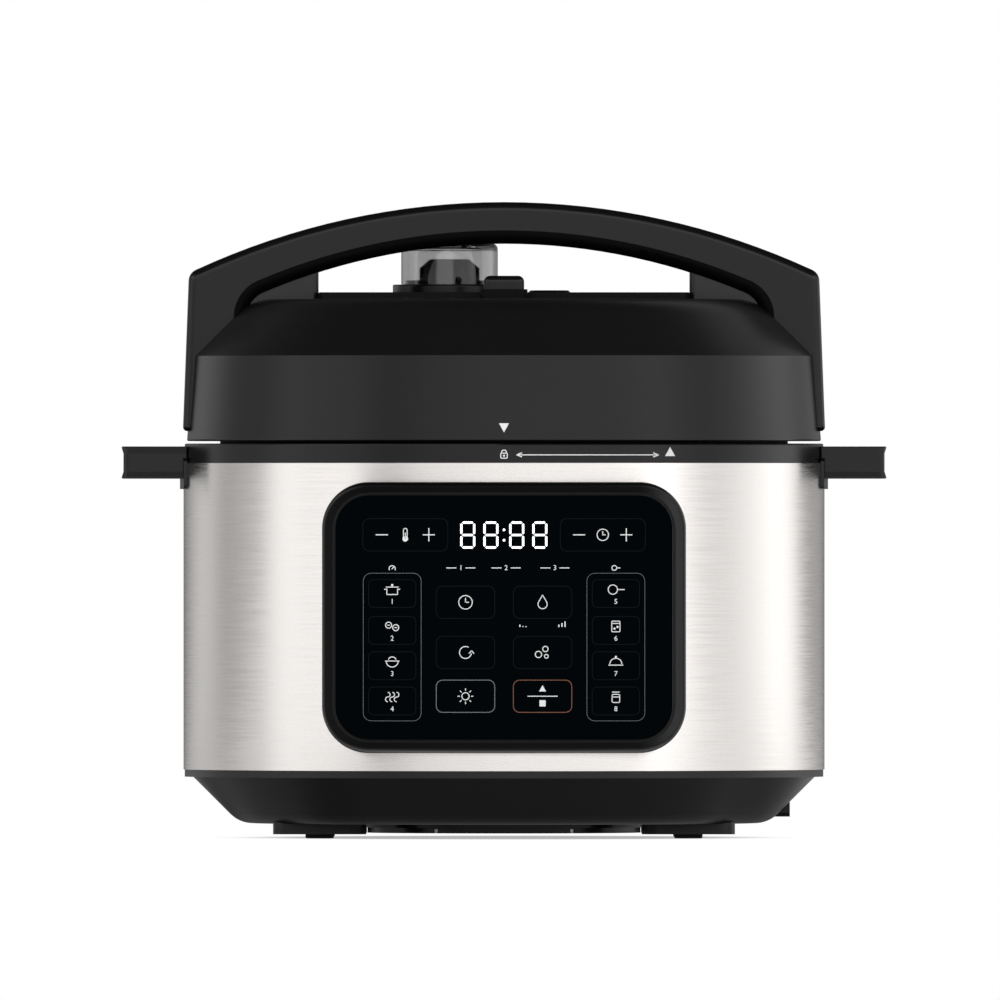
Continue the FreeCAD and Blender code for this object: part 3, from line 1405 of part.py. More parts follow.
def make_release():
    """Release button, lever with its bracket and pin, spring, and the pin that lifts the weight."""
    flange_top = dome_inside - S.run_gap
    button = padded("button_block", "XY",
                    rectangle(zero, -S.button_y, S.button_width, S.button_depth, S.button_round - S.run_gap),
                    flange_top - S.button_flange, dome_top + S.button_height - flange_top + S.button_flange)
    level = (dome_top + S.button_height).value
    round_edges(button, S.button_edge, lambda e: all(abs(v.Z - level) < 1e-3 for v in e.Vertexes))
    flange = box("button_flange_plate", S.button_width + S.collar_wall * 2, S.button_depth + S.collar_wall * 2,
                 S.button_flange, -S.button_width / 2 - S.collar_wall,
                 -S.button_y - S.button_depth / 2 - S.collar_wall, flange_top - S.button_flange)
    stem_low = lever_top + S.run_gap
    stem = cylinder("button_stem", S.button_stem_radius, flange_top - stem_low, 0, -S.button_y, stem_low)
    keep(fuse("button_solid", button, flange, stem), "release_button")

    front = lever_arm + S.lever_tip
    back = lever_arm - S.lift_pin_offset + S.lever_tip
    half = S.lever_thickness / 2
    bar = padded("lever_bar", "YZ", [(-front, -half), (back, -half), (back, half), (-front, half)], 0,
                 S.lever_width, middle=True)
    boss = cylinder("lever_boss", S.lever_boss_radius, S.lever_width, -S.lever_width / 2, 0, 0, "x")
    bore = cylinder("lever_bore", S.lever_pin_radius + S.run_gap / 3, S.lever_width * 2, -S.lever_width, 0, 0,
                    "x")
    lever = cut("lever_cut", fuse("lever_solid", bar, boss), bore)
    keep(place(lever, lever_x, lever_y, lever_middle, lever_turn), "release_lever")

    foot = inner_lid_top - lever_middle
    ear_x = S.lever_width / 2 + S.run_gap
    base_half = ear_x + S.ear_wall
    ears = [box("bracket_foot", base_half * 2, S.ear_length, S.ear_foot, -base_half, -S.ear_length / 2,
                foot)]
    for side in BOTH_SIDES:
        ears.append(box("bracket_ear", S.ear_wall, S.ear_length, S.lever_boss_radius - foot,
                        ear_x if side > 0 else -ear_x - S.ear_wall, -S.ear_length / 2, foot))
    pin_hole = cylinder("ear_hole", S.lever_pin_radius + S.fit_gap / 2, base_half * 4, -base_half * 2, 0, 0,
                        "x")
    bracket = cut("lever_bracket_cut", fuse("lever_bracket_solid", *ears), pin_hole)
    keep(place(bracket, lever_x, lever_y, lever_middle, lever_turn), "lever_bracket")
    pin = cylinder("lever_axle", S.lever_pin_radius, base_half * 2, -base_half, 0, 0, "x")
    pin_holder = group("lever_axle_holder", [pin])
    keep(place(pin_holder, lever_x, lever_y, lever_middle, lever_turn), "lever_pin")

    spring = coil("button_coil", S.button_spring_radius.value, S.button_spring_wire.value, BUTTON_SPRING_TURNS,
                  (inner_lid_top + S.fit_gap / 2).value, (lever_top - S.lever_thickness - S.fit_gap / 2).value,
                  y=-S.button_y.value)
    keep(spring, "button_spring")
    keep(cylinder("lift_rod", S.lift_pin_radius, valve_base_top - lever_top - S.run_gap, lift_pin_x, lift_pin_y,
                  lever_top + S.run_gap), "lift_pin")


def make_float():
    """Float valve: a pin that rises through the lid, its seal and its housing on the deck."""
    pad_top = deck_top + S.float_pad_height
    ledge_top = dome_top + S.float_ledge
    head_bore = S.float_head_radius + S.run_gap
    keep(place(turned("float_housing_turning", [
        (S.float_stem_radius + S.run_gap, dome_top),
        (S.float_sleeve_radius, dome_top),
        (S.float_sleeve_radius, deck_top),
        (S.float_pad_radius, deck_top),
        (S.float_pad_radius - S.float_pad_height, pad_top),
        (head_bore, pad_top),
        (head_bore, ledge_top),
        (S.float_stem_radius + S.run_gap, ledge_top),
    ]), S.float_x, S.float_y), "float_housing")
    head_low = ledge_top + S.run_gap / 2
    foot_top = inner_lid_inside - S.float_travel - S.float_seal_height - S.run_gap
    keep(place(turned("float_turning", [
        (zero, foot_top - S.float_foot_height),
        (S.float_foot_radius, foot_top - S.float_foot_height),
        (S.float_foot_radius, foot_top),
        (S.float_stem_radius, foot_top),
        (S.float_stem_radius, head_low),
        (S.float_head_radius, head_low),
        (S.float_head_radius, head_low + S.float_head_height),
        (zero, head_low + S.float_head_height),
    ]), S.float_x, S.float_y), "float_valve")
    keep(place(turned("float_seal_turning", [
        (S.float_stem_radius + S.fit_gap, foot_top),
        (S.float_foot_radius - S.fit_gap, foot_top),
        (S.float_foot_radius - S.fit_gap, foot_top + S.float_seal_height),
        (S.float_stem_radius + S.fit_gap, foot_top + S.float_seal_height),
    ]), S.float_x, S.float_y), "float_seal")


# Control panel

def bowed(name, radius):
    """Tall cylinder about the axis of the bowed panel face."""
    return cylinder(name, radius, S.panel_height * 2, 0, panel_axis_y, panel_middle - S.panel_height)


def panel_prism(name, inset, rounding):
    """Rounded block as wide as the panel less an inset on every side."""
    return padded(name, "XZ",
                  rectangle(zero, panel_middle, S.panel_width - inset * 2, S.panel_height - inset * 2,
                            rounding),
                  S.band_radius - S.panel_depth, S.panel_depth + S.panel_proud * 2)


def make_panel():
    """Bezel, glass, display and control board."""
    front = common("bezel_front", panel_prism("bezel_prism", zero, S.panel_round),
                   bowed("bezel_face", panel_bow))
    doc.recompute()
    edges = []
    for i, edge in enumerate(front.Shape.Edges, 1):
        point = middle_of(edge)
        reach = math.hypot(point.x, point.y - panel_axis_y.value)
        if abs(reach - panel_bow.value) < 0.01:
            edges.append((i, S.panel_edge.value, S.panel_edge.value))
    soft = doc.addObject("Part::Fillet", "bezel_soft")
    soft.Base = front
    soft.Edges = edges
    hollow = common("bezel_hollow", panel_prism("hollow_prism", S.panel_wall, S.panel_round - S.panel_wall),
                    bowed("hollow_face", panel_bow - S.panel_skin))
    floor_radius = panel_bow - S.glass_sunk - S.glass_thickness
    recess = cut("bezel_recess", panel_prism("recess_prism", S.bezel_border, S.glass_round),
                 bowed("recess_floor", floor_radius))
    display_z = panel_middle + S.panel_height / 2 - S.display_drop
    hole = box("display_hole", S.display_width + S.run_gap * 2, S.panel_depth,
               S.display_height + S.run_gap * 2, -S.display_width / 2 - S.run_gap, -panel_front - S.panel_proud,
               display_z - S.display_height / 2 - S.run_gap)
    body = cylinder("bezel_seat", S.band_radius + S.fit_gap / 2, S.panel_height * 2, 0, 0,
                    panel_middle - S.panel_height)
    board_front = board_back + S.board_thickness
    boss_x = board_width / 2 - S.board_boss_inset
    boss_z = board_height / 2 - S.board_boss_inset
    bosses = []
    for side in BOTH_SIDES:
        for level in BOTH_SIDES:
            bosses.append(cylinder("board_boss", S.board_boss_radius, panel_front - board_front, boss_x * side,
                                   -panel_front, panel_middle + boss_z * level, "y"))
    shell = fuse("bezel_shell", cut("bezel_hull", soft, body, hollow), *bosses)
    keep(cut("bezel_solid", shell, recess, hole), "panel_bezel")

    glass = common("glass_front", panel_prism("glass_prism", S.bezel_border + S.fit_gap,
                                              S.glass_round - S.fit_gap),
                   bowed("glass_face", panel_bow - S.glass_sunk))
    keep(cut("glass_cut", glass, bowed("glass_back", floor_radius + S.fit_gap / 2)), "panel_glass")

    keep(box("board_plate", board_width, S.board_thickness, board_height, -board_width / 2,
             -board_front, panel_middle - board_height / 2), "control_board")
    half = S.display_width / 2
    reach = root(floor_radius * floor_radius - half * half) - panel_axis_y
    keep(box("display_block", S.display_width, reach - S.fit_gap - board_front, S.display_height, -half,
             -reach + S.fit_gap, display_z - S.display_height / 2), "display_module")


def make_power():
    """Power inlet with its pins, power board with its components, and the wiring."""
    inner = inlet_face - S.inlet_depth
    block = padded("inlet_block", "YZ",
                   rectangle(S.inlet_y, socket_middle, S.inlet_width, inlet_height, S.inlet_round),
                   inner, S.inlet_depth)
    socket = padded("inlet_socket", "YZ",
                    rectangle(S.inlet_y, socket_middle, S.socket_width, socket_height, S.socket_round),
                    inlet_face - S.socket_depth, S.socket_depth * 2)
    keep(cut("inlet_cut", block, socket), "power_inlet")
    pins = []
    for y, z in ((-S.pin_spread, -S.pin_drop), (S.pin_spread, -S.pin_drop), (zero, S.earth_rise)):
        pins.append(box("inlet_pin", S.pin_length, S.pin_width, S.pin_height, inlet_face - S.socket_depth,
                        S.inlet_y + y - S.pin_width / 2, socket_middle + z - S.pin_height / 2))
    keep(group("inlet_pin_group", pins), "inlet_pins")

    board_low = floor_top + S.power_board_lift
    board_top = board_low + S.board_thickness
    keep(box("power_plate", S.power_board_width, S.power_board_depth, S.board_thickness,
             -S.power_board_width / 2, -power_board_y - S.power_board_depth / 2, board_low), "power_board")
    y = -power_board_y
    room = well_floor - board_top - S.component_room
    block_x = S.power_board_width / 2 - S.block_inset
    parts = [cylinder("capacitor", S.can_radius, room, S.can_x, y + S.can_y, board_top)]
    for name, length, width, height, x, shift in (
            ("relay", S.relay_length, S.relay_width, room, -S.relay_x, zero),
            ("transformer", S.coil_length, S.coil_width, room, S.coil_x, zero),
            ("heat_sink", S.fin_length, S.fin_width, room, S.can_x, -S.fin_y),
            ("mains_block", S.block_length, S.block_width, S.block_height, block_x, zero),
            ("heater_block", S.block_length, S.block_width, S.block_height, -block_x, zero)):
        parts.append(box(name, length, width, height, x - length / 2, y + shift - width / 2, board_top))
    keep(group("board_part_group", parts), "board_components")

    radius = S.lead_radius.value
    level = (board_top + S.lead_lift).value
    block_end = (block_x + S.block_length / 2).value
    mains, heat = [], []
    for row in BOTH_SIDES:
        start = Vector(inner.value, (S.inlet_y - S.lead_spread * row).value, level)
        knee_x = (inner - S.mains_knee + S.lead_spread * row).value
        end_y = (y - S.lead_pitch * row).value
        mains.append(lead("mains_lead", [start, Vector(knee_x, start.y, level), Vector(knee_x, end_y, level),
                                         Vector(block_end, end_y, level)], radius, S.lead_bend.value))
    low = (plate_bottom - S.terminal_drop).value
    for row, (x, end) in zip(BOTH_SIDES, terminal_places()):
        end_y = (y - S.lead_pitch * row).value
        knee_x = -block_end - (S.heat_knee + S.heat_step / 2 * (1 + row)).value
        heat.append(lead("heater_lead", [
            Vector(x.value, end.value, low), Vector(x.value, end.value, level),
            Vector(knee_x, end_y, level), Vector(-block_end, end_y, level)], radius, S.heat_bend.value))
    keep(group("mains_group", mains), "mains_leads")
    keep(group("heat_group", heat), "heater_leads")

    back = -board_back
    thick = S.ribbon_thickness
    foot = S.ribbon_foot
    top = panel_middle - board_height / 2 + foot
    edge_y = -power_board_y - S.power_board_depth / 2 + S.ribbon_inset
    ribbon = padded("ribbon_strip", "YZ", [
        (back, top),
        (back, board_top + foot),
        (edge_y - foot, board_top),
        (edge_y, board_top),
        (edge_y, board_top + thick),
        (edge_y - foot, board_top + thick),
        (back + thick, board_top + foot + thick / 2),
        (back + thick, top),
    ], 0, S.ribbon_width, middle=True)
    keep(ribbon, "ribbon_cable")


def export_all():
    """Checks every object and writes one file for each sub-part."""
    doc.recompute()
    for item in doc.Objects:
        if "Invalid" in item.State or "Error" in item.State:
            raise ValueError(f"{item.Label} was not made: {item.State}")
    os.makedirs("parts", exist_ok=True)
    for item in subparts:
        if item.Shape.isNull() or not item.Shape.isValid() or not item.Shape.Solids:
            raise ValueError(f"{item.Label} is not a sound solid")
        item.Shape.exportStep(f"parts/{item.Label}.step")
        print(item.Label, len(item.Shape.Solids), round(item.Shape.Volume))


make_base()
make_band()
make_ring()
make_side_handle("side_handle_left", -1)
make_side_handle("side_handle_right", 1)
make_side_screws()
make_outer_pot()
make_inner_pot()
make_heater()
make_sensor()
make_locking_ring()
make_lid_shells()
make_handle()
make_deck()
make_steam_valve()
make_release()
make_float()
make_panel()
make_power()
export_all()
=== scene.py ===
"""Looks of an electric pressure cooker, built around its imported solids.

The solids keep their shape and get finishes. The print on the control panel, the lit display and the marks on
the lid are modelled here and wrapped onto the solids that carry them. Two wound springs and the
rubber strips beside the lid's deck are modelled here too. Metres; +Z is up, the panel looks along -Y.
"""

import json
import logging
import math
from abc import ABC, abstractmethod
from dataclasses import dataclass
from enum import Enum

import bmesh
import bpy
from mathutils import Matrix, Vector

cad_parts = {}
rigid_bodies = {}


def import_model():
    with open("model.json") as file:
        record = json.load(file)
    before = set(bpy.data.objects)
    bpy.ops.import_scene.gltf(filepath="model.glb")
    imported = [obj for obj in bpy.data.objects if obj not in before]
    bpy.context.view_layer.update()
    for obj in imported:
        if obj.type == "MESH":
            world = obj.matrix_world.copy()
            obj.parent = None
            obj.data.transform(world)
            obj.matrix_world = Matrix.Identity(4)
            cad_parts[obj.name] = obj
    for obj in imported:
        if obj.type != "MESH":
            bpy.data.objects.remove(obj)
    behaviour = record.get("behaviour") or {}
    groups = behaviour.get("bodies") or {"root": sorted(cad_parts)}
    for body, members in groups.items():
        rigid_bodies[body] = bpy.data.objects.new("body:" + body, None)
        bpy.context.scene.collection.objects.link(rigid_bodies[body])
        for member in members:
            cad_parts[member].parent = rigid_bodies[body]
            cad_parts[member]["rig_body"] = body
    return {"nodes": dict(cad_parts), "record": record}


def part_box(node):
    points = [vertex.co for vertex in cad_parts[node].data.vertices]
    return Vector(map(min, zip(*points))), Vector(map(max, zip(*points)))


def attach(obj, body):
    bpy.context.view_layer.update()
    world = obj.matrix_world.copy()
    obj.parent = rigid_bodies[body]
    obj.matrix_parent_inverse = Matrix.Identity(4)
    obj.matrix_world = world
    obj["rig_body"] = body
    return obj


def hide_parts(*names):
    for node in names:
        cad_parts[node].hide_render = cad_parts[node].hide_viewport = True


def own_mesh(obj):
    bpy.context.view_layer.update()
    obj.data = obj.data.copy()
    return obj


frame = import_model()

MM = 0.001
WHITE = (1.0, 1.0, 1.0, 1.0)
log = logging.getLogger("pressure_cooker")

Node = bpy.types.Node
Piece = bpy.types.Object
Socket = bpy.types.NodeSocket
Tree = bpy.types.NodeTree
Place = tuple[float, float, float]
Stops = tuple[tuple[float, float], ...]


def linear(hex_colour: str) -> tuple[float, float, float, float]:
    """Turns an sRGB hex colour into a linear one, by the curve that sRGB is defined with.

    Args:
        hex_colour: The colour as "#rrggbb".

    Returns:
        Linear red, green, blue and an alpha of 1.
    """
    channels = [int(hex_colour[i:i + 2], 16) / 255 for i in (1, 3, 5)]
    red, green, blue = (c / 12.92 if c <= 0.04045 else ((c + 0.055) / 1.055) ** 2.4 for c in channels)
    return red, green, blue, 1.0


def add_node(tree: Tree, kind: str, inputs: dict | None = None, stops: Stops = (),
             **settings: object) -> Node:
    """Adds a shader node with its settings and links.

    Args:
        tree: The node tree that gets the node.
        kind: The node's type name.
        inputs: Values, sockets or nodes by input name or number; a node stands for its first output.
        stops: Places and levels of grey along a ramp, in order.
        **settings: Properties of the node.

    Returns:
        The new node.
    """
    node = tree.nodes.new(kind)
    for name, value in settings.items():
        setattr(node, name, value)
    for key, value in (inputs or {}).items():
        source = value.outputs[0] if isinstance(value, Node) else value
        if isinstance(source, Socket):
            tree.links.new(source, node.inputs[key])
        else:
            node.inputs[key].default_value = source
    if stops:
        marks = node.color_ramp.elements
        marks[0].position, marks[1].position = stops[0][0], stops[-1][0]
        for place, _ in stops[1:-1]:
            marks.new(place)
        for mark, (_, level) in zip(marks, stops):
            mark.color = (level, level, level, 1.0)
    return node


def dress(piece: Piece, material: bpy.types.Material, body: str) -> None:
    """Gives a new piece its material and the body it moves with.

    Args:
        piece: The new piece.
        material: What it is made of.
        body: The body that carries it.
    """
    piece.data.materials.append(material)
    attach(piece, body)


class SubAssembly(ABC):
    """Pieces that belong together and are made in one go."""

    @abstractmethod
    def build(self) -> list[Piece]:
        """Makes the pieces and returns them."""


# Finishes


@dataclass(frozen=True)
class Finish(ABC):
    """What a surface is made of.

    The base class sets what is the same all over the surface; each kind of finish paints its pattern on top.
    """

    name: str
    colour: str
    roughness: float
    metallic: float = 0.0
    specular: float = 0.5
    colour_swing: float = 0.08  # share by which the pattern changes the colour
    rough_swing: float = 0.05  # amount by which the pattern changes the roughness
    depth: float = 0.0  # real height of the relief

    def material(self) -> bpy.types.Material:
        """Makes the material, or returns the one made before.

        Returns:
            The material of this finish.
        """
        known = bpy.data.materials.get(self.name)
        if known:
            return known
        made = bpy.data.materials.new(self.name)
        made.use_nodes = True
        tree = made.node_tree
        shader = tree.nodes["Principled BSDF"]
        shader.inputs["Base Color"].default_value = linear(self.colour)
        shader.inputs["Roughness"].default_value = self.roughness
        shader.inputs["Metallic"].default_value = self.metallic
        shader.inputs["Specular IOR Level"].default_value = self.specular
        self.paint(tree, shader, add_node(tree, "ShaderNodeTexCoord").outputs["Object"])
        return made

    @abstractmethod
    def paint(self, tree: Tree, shader: Node, place: Socket) -> None:
        """Adds the pattern of the finish.

        Args:
            tree: The material's nodes.
            shader: The material's surface shader.
            place: The point of the surface, in the object's own frame.
        """

    def cover(self, tree: Tree, shader: Node, pattern: Node, relief: Node | None = None) -> None:
        """Lets one pattern change the colour and the roughness, and another one raise the surface.

        Args:
            tree: The material's nodes.
            shader: The material's surface shader.
            pattern: Gives a value around one half.
            relief: Gives the height, from 0 to 1; without it the surface stays level.
        """
        tint = linear(self.colour)[:3]
        dark, light = (tuple(channel * factor for channel in tint) + (1.0,)
                       for factor in (1 - self.colour_swing, 1 + self.colour_swing))
        mix = add_node(tree, "ShaderNodeMix", {"Factor": pattern, "A": dark, "B": light}, data_type="RGBA")
        tree.links.new(mix.outputs["Result"], shader.inputs["Base Color"])
        rough = add_node(tree, "ShaderNodeMapRange", {
            "Value": pattern,
            "To Min": self.roughness - self.rough_swing,
            "To Max": self.roughness + self.rough_swing})
        tree.links.new(rough.outputs["Result"], shader.inputs["Roughness"])
        if relief is not None:
            bump = add_node(tree, "ShaderNodeBump", {
                "Height": relief, "Strength": 1.0, "Distance": self.depth})
            tree.links.new(bump.outputs["Normal"], shader.inputs["Normal"])


@dataclass(frozen=True)
class MouldedPlastic(Finish):
    """Injection moulded plastic: the mould's spark-eroded grain breaks up the gloss into a soft sheen."""

    rough_swing: float = 0.03
    depth: float = 0.006 * MM
    grain: float = 0.7 * MM  # real grain is near 0.1 mm, drawn coarser so that it shows
    cloud: float = 60 * MM

    def paint(self, tree: Tree, shader: Node, place: Socket) -> None:
        """Adds grain and faint clouds in the gloss.

        Args:
            tree: The material's nodes.
            shader: The material's surface shader.
            place: The point of the surface, in the object's own frame.
        """
        clouds = add_node(tree, "ShaderNodeTexNoise", {
            "Vector": place, "Scale": 1 / self.cloud, "Detail": 3.0})
        grain = add_node(tree, "ShaderNodeTexNoise", {
            "Vector": place, "Scale": 1 / self.grain, "Detail": 2.0})
        self.cover(tree, shader, clouds, grain)


@dataclass(frozen=True)
class EnamelledSteel(MouldedPlastic):
    """Enamelled steel sheet: a dull black glaze with a fine orange peel, which also gives a soft sheen."""


@dataclass(frozen=True)
class PolishedPlastic(Finish):
    """Plastic from a polished mould: black when looked at straight on, with clear glints along its edges."""

    rough_swing: float = 0.02
    cloud: float = 40 * MM
    edge_specular: float = 0.9
    edge_blend: float = 0.3
    edge_range: tuple[float, float] = (0.03, 0.35)  # how far the face is turned away where the gloss grows

    def paint(self, tree: Tree, shader: Node, place: Socket) -> None:
        """Adds faint clouds and lets the gloss grow towards the edges.

        Args:
            tree: The material's nodes.
            shader: The material's surface shader.
            place: The point of the surface, in the object's own frame.
        """
        clouds = add_node(tree, "ShaderNodeTexNoise", {
            "Vector": place, "Scale": 1 / self.cloud, "Detail": 3.0})
        self.cover(tree, shader, clouds)
        turned = add_node(tree, "ShaderNodeLayerWeight", {"Blend": self.edge_blend}).outputs["Facing"]
        gloss = add_node(tree, "ShaderNodeMapRange", {
            "Value": turned, "From Min": self.edge_range[0], "From Max": self.edge_range[1],
            "To Min": self.specular, "To Max": self.edge_specular})
        tree.links.new(gloss.outputs["Result"], shader.inputs["Specular IOR Level"])


@dataclass(frozen=True)
class BrushedSteel(Finish):
    """Stainless sheet brushed round the body: fine level streaks that draw reflections out upwards."""

    colour_swing: float = 0.16
    rough_swing: float = 0.16
    depth: float = 0.002 * MM
    radius: float = 155 * MM
    streak_length: float = 40 * MM
    streak_width: float = 0.8 * MM  # real lines are finer than a pixel, drawn coarser so that they show
    anisotropy: float = 0.88
    quarter_turn: float = 0.25  # the gloss spreads across the streaks

    def paint(self, tree: Tree, shader: Node, place: Socket) -> None:
        """Adds the streaks, unrolled round the vertical axis.

        Args:
            tree: The material's nodes.
            shader: The material's surface shader.
            place: The point of the surface, in the object's own frame.
        """
        split = add_node(tree, "ShaderNodeSeparateXYZ", {"Vector": place}).outputs
        turn = add_node(tree, "ShaderNodeMath", {0: split["X"], 1: split["Y"]}, operation="ARCTAN2")
        along, across, up = (
            add_node(tree, "ShaderNodeMath", {0: value, 1: scale}, operation="MULTIPLY")
            for value, scale in ((turn, self.radius / self.streak_length),
                                 (split["Y"], 1 / self.streak_length),
                                 (split["Z"], 1 / self.streak_width)))
        sheet = add_node(tree, "ShaderNodeCombineXYZ", {"X": along, "Y": across, "Z": up})
        streaks = add_node(tree, "ShaderNodeTexNoise", {"Vector": sheet, "Scale": 1.0, "Detail": 4.0})
        self.cover(tree, shader, streaks, streaks)
        shader.inputs["Anisotropic"].default_value = self.anisotropy
        shader.inputs["Anisotropic Rotation"].default_value = self.quarter_turn
        tangent = add_node(tree, "ShaderNodeTangent", direction_type="RADIAL", axis="Z")
        tree.links.new(tangent.outputs[0], shader.inputs["Tangent"])


@dataclass(frozen=True)
class TurnedMetal(Finish):
    """Metal spun or turned on a lathe: fine rings about the vertical axis catch the light as a soft fan."""

    colour_swing: float = 0.06
    depth: float = 0.003 * MM
    pitch: float = 0.8 * MM
    centre: tuple[float, float] = (0.0, 0.0)

    def paint(self, tree: Tree, shader: Node, place: Socket) -> None:
        """Adds the rings, read from the distance to the axis and the height.

        Args:
            tree: The material's nodes.
            shader: The material's surface shader.
            place: The point of the surface, in the object's own frame.
        """
        moved = add_node(tree, "ShaderNodeMapping", {
            "Vector": place, "Location": (-self.centre[0], -self.centre[1], 0.0)})
        split = add_node(tree, "ShaderNodeSeparateXYZ", {"Vector": moved}).outputs
        flat = add_node(tree, "ShaderNodeCombineXYZ", {"X": split["X"], "Y": split["Y"]})
        reach = add_node(tree, "ShaderNodeVectorMath", {0: flat}, operation="LENGTH").outputs["Value"]
        profile = add_node(tree, "ShaderNodeCombineXYZ", {"X": reach, "Y": split["Z"]})
        rings = add_node(tree, "ShaderNodeTexNoise", {
            "Vector": profile, "Scale": 1 / self.pitch, "Detail": 2.0})
        self.cover(tree, shader, rings, rings)


@dataclass(frozen=True)
class CastMetal(Finish):
    """Cast or plated metal: no direction, only a dull cloudy sheen."""

    rough_swing: float = 0.06
    depth: float = 0.004 * MM
    grain: float = 2.0 * MM

    def paint(self, tree: Tree, shader: Node, place: Socket) -> None:
        """Adds the clouds and a fine skin.

        Args:
            tree: The material's nodes.
            shader: The material's surface shader.
            place: The point of the surface, in the object's own frame.
        """
        clouds = add_node(tree, "ShaderNodeTexNoise", {
            "Vector": place, "Scale": 1 / self.grain, "Detail": 3.0})
        self.cover(tree, shader, clouds, clouds)


@dataclass(frozen=True)
class SoftRubber(Finish):
    """Moulded rubber or silicone: matt, slightly dusty, no clear highlight."""

    colour_swing: float = 0.10
    depth: float = 0.008 * MM
    dust: float = 3.0 * MM
    tooth: float = 0.5 * MM

    def paint(self, tree: Tree, shader: Node, place: Socket) -> None:
        """Adds the dusty bloom and a fine tooth.

        Args:
            tree: The material's nodes.
            shader: The material's surface shader.
            place: The point of the surface, in the object's own frame.
        """
        bloom = add_node(tree, "ShaderNodeTexNoise", {
            "Vector": place, "Scale": 1 / self.dust, "Detail": 3.0})
        tooth = add_node(tree, "ShaderNodeTexNoise", {
            "Vector": place, "Scale": 1 / self.tooth, "Detail": 2.0})
        self.cover(tree, shader, bloom, tooth)


@dataclass(frozen=True)
class SmokedClear(Finish):
    """Clear plastic with a smoky tint: see-through, with a slight ripple from the mould."""

    colour_swing: float = 0.04
    rough_swing: float = 0.01
    depth: float = 0.004 * MM
    ior: float = 1.49
    wave: float = 9 * MM

    def paint(self, tree: Tree, shader: Node, place: Socket) -> None:
        """Lets light through and adds the ripple.

        Args:
            tree: The material's nodes.
            shader: The material's surface shader.
            place: The point of the surface, in the object's own frame.
        """
        shader.inputs["Transmission Weight"].default_value = 1.0
        shader.inputs["IOR"].default_value = self.ior
        ripple = add_node(tree, "ShaderNodeTexNoise", {
            "Vector": place, "Scale": 1 / self.wave, "Detail": 1.0})
        self.cover(tree, shader, ripple, ripple)


@dataclass(frozen=True)
class BackedGlass(Finish):
    """Flat glass with black ink behind it and an anti-glare face: deep black with hardly any mirror."""

    colour_swing: float = 0.10
    rough_swing: float = 0.03
    depth: float = 0.0008 * MM
    cloud: float = 25 * MM
    tooth: float = 0.5 * MM

    def paint(self, tree: Tree, shader: Node, place: Socket) -> None:
        """Adds faint clouds and the tooth of the anti-glare face.

        Args:
            tree: The material's nodes.
            shader: The material's surface shader.
            place: The point of the surface, in the object's own frame.
        """
        clouds = add_node(tree, "ShaderNodeTexNoise", {
            "Vector": place, "Scale": 1 / self.cloud, "Detail": 3.0})
        tooth = add_node(tree, "ShaderNodeTexNoise", {
            "Vector": place, "Scale": 1 / self.tooth, "Detail": 1.0})
        self.cover(tree, shader, clouds, tooth)


@dataclass(frozen=True)
class ScreenInk(Finish):
    """Screen-printed ink: flat, with the slightly uneven cover of the mesh it was pressed through."""

    colour_swing: float = 0.06
    mesh: float = 0.8 * MM

    def paint(self, tree: Tree, shader: Node, place: Socket) -> None:
        """Adds the uneven cover.

        Args:
            tree: The material's nodes.
            shader: The material's surface shader.
            place: The point of the surface, in the object's own frame.
        """
        patches = add_node(tree, "ShaderNodeTexNoise", {
            "Vector": place, "Scale": 1 / self.mesh, "Detail": 3.0})
        self.cover(tree, shader, patches)


@dataclass(frozen=True)
class LitSegment(Finish):
    """Lit segment of the display: an even glow behind the glass."""

    colour_swing: float = 0.02
    rough_swing: float = 0.02
    cloud: float = 4 * MM
    glow: float = 0.85

    def paint(self, tree: Tree, shader: Node, place: Socket) -> None:
        """Makes the segment glow.

        Args:
            tree: The material's nodes.
            shader: The material's surface shader.
            place: The point of the surface, in the object's own frame.
        """
        clouds = add_node(tree, "ShaderNodeTexNoise", {
            "Vector": place, "Scale": 1 / self.cloud, "Detail": 1.0})
        self.cover(tree, shader, clouds)
        shader.inputs["Emission Color"].default_value = linear(self.colour)
        shader.inputs["Emission Strength"].default_value = self.glow


@dataclass(frozen=True)
class CircuitBoard(Finish):
    """Glass-epoxy board under solder mask: green with lighter tracks showing through."""

    colour_swing: float = 0.35
    rough_swing: float = 0.08
    spacing: float = 5.0 * MM  # from track to track

    def paint(self, tree: Tree, shader: Node, place: Socket) -> None:
        """Adds the pattern of the tracks.

        Args:
            tree: The material's nodes.
            shader: The material's surface shader.
            place: The point of the surface, in the object's own frame.
        """
        tracks = add_node(tree, "ShaderNodeTexVoronoi", {"Vector": place, "Scale": 1 / self.spacing},
                          distance="MANHATTAN")
        self.cover(tree, shader, tracks)


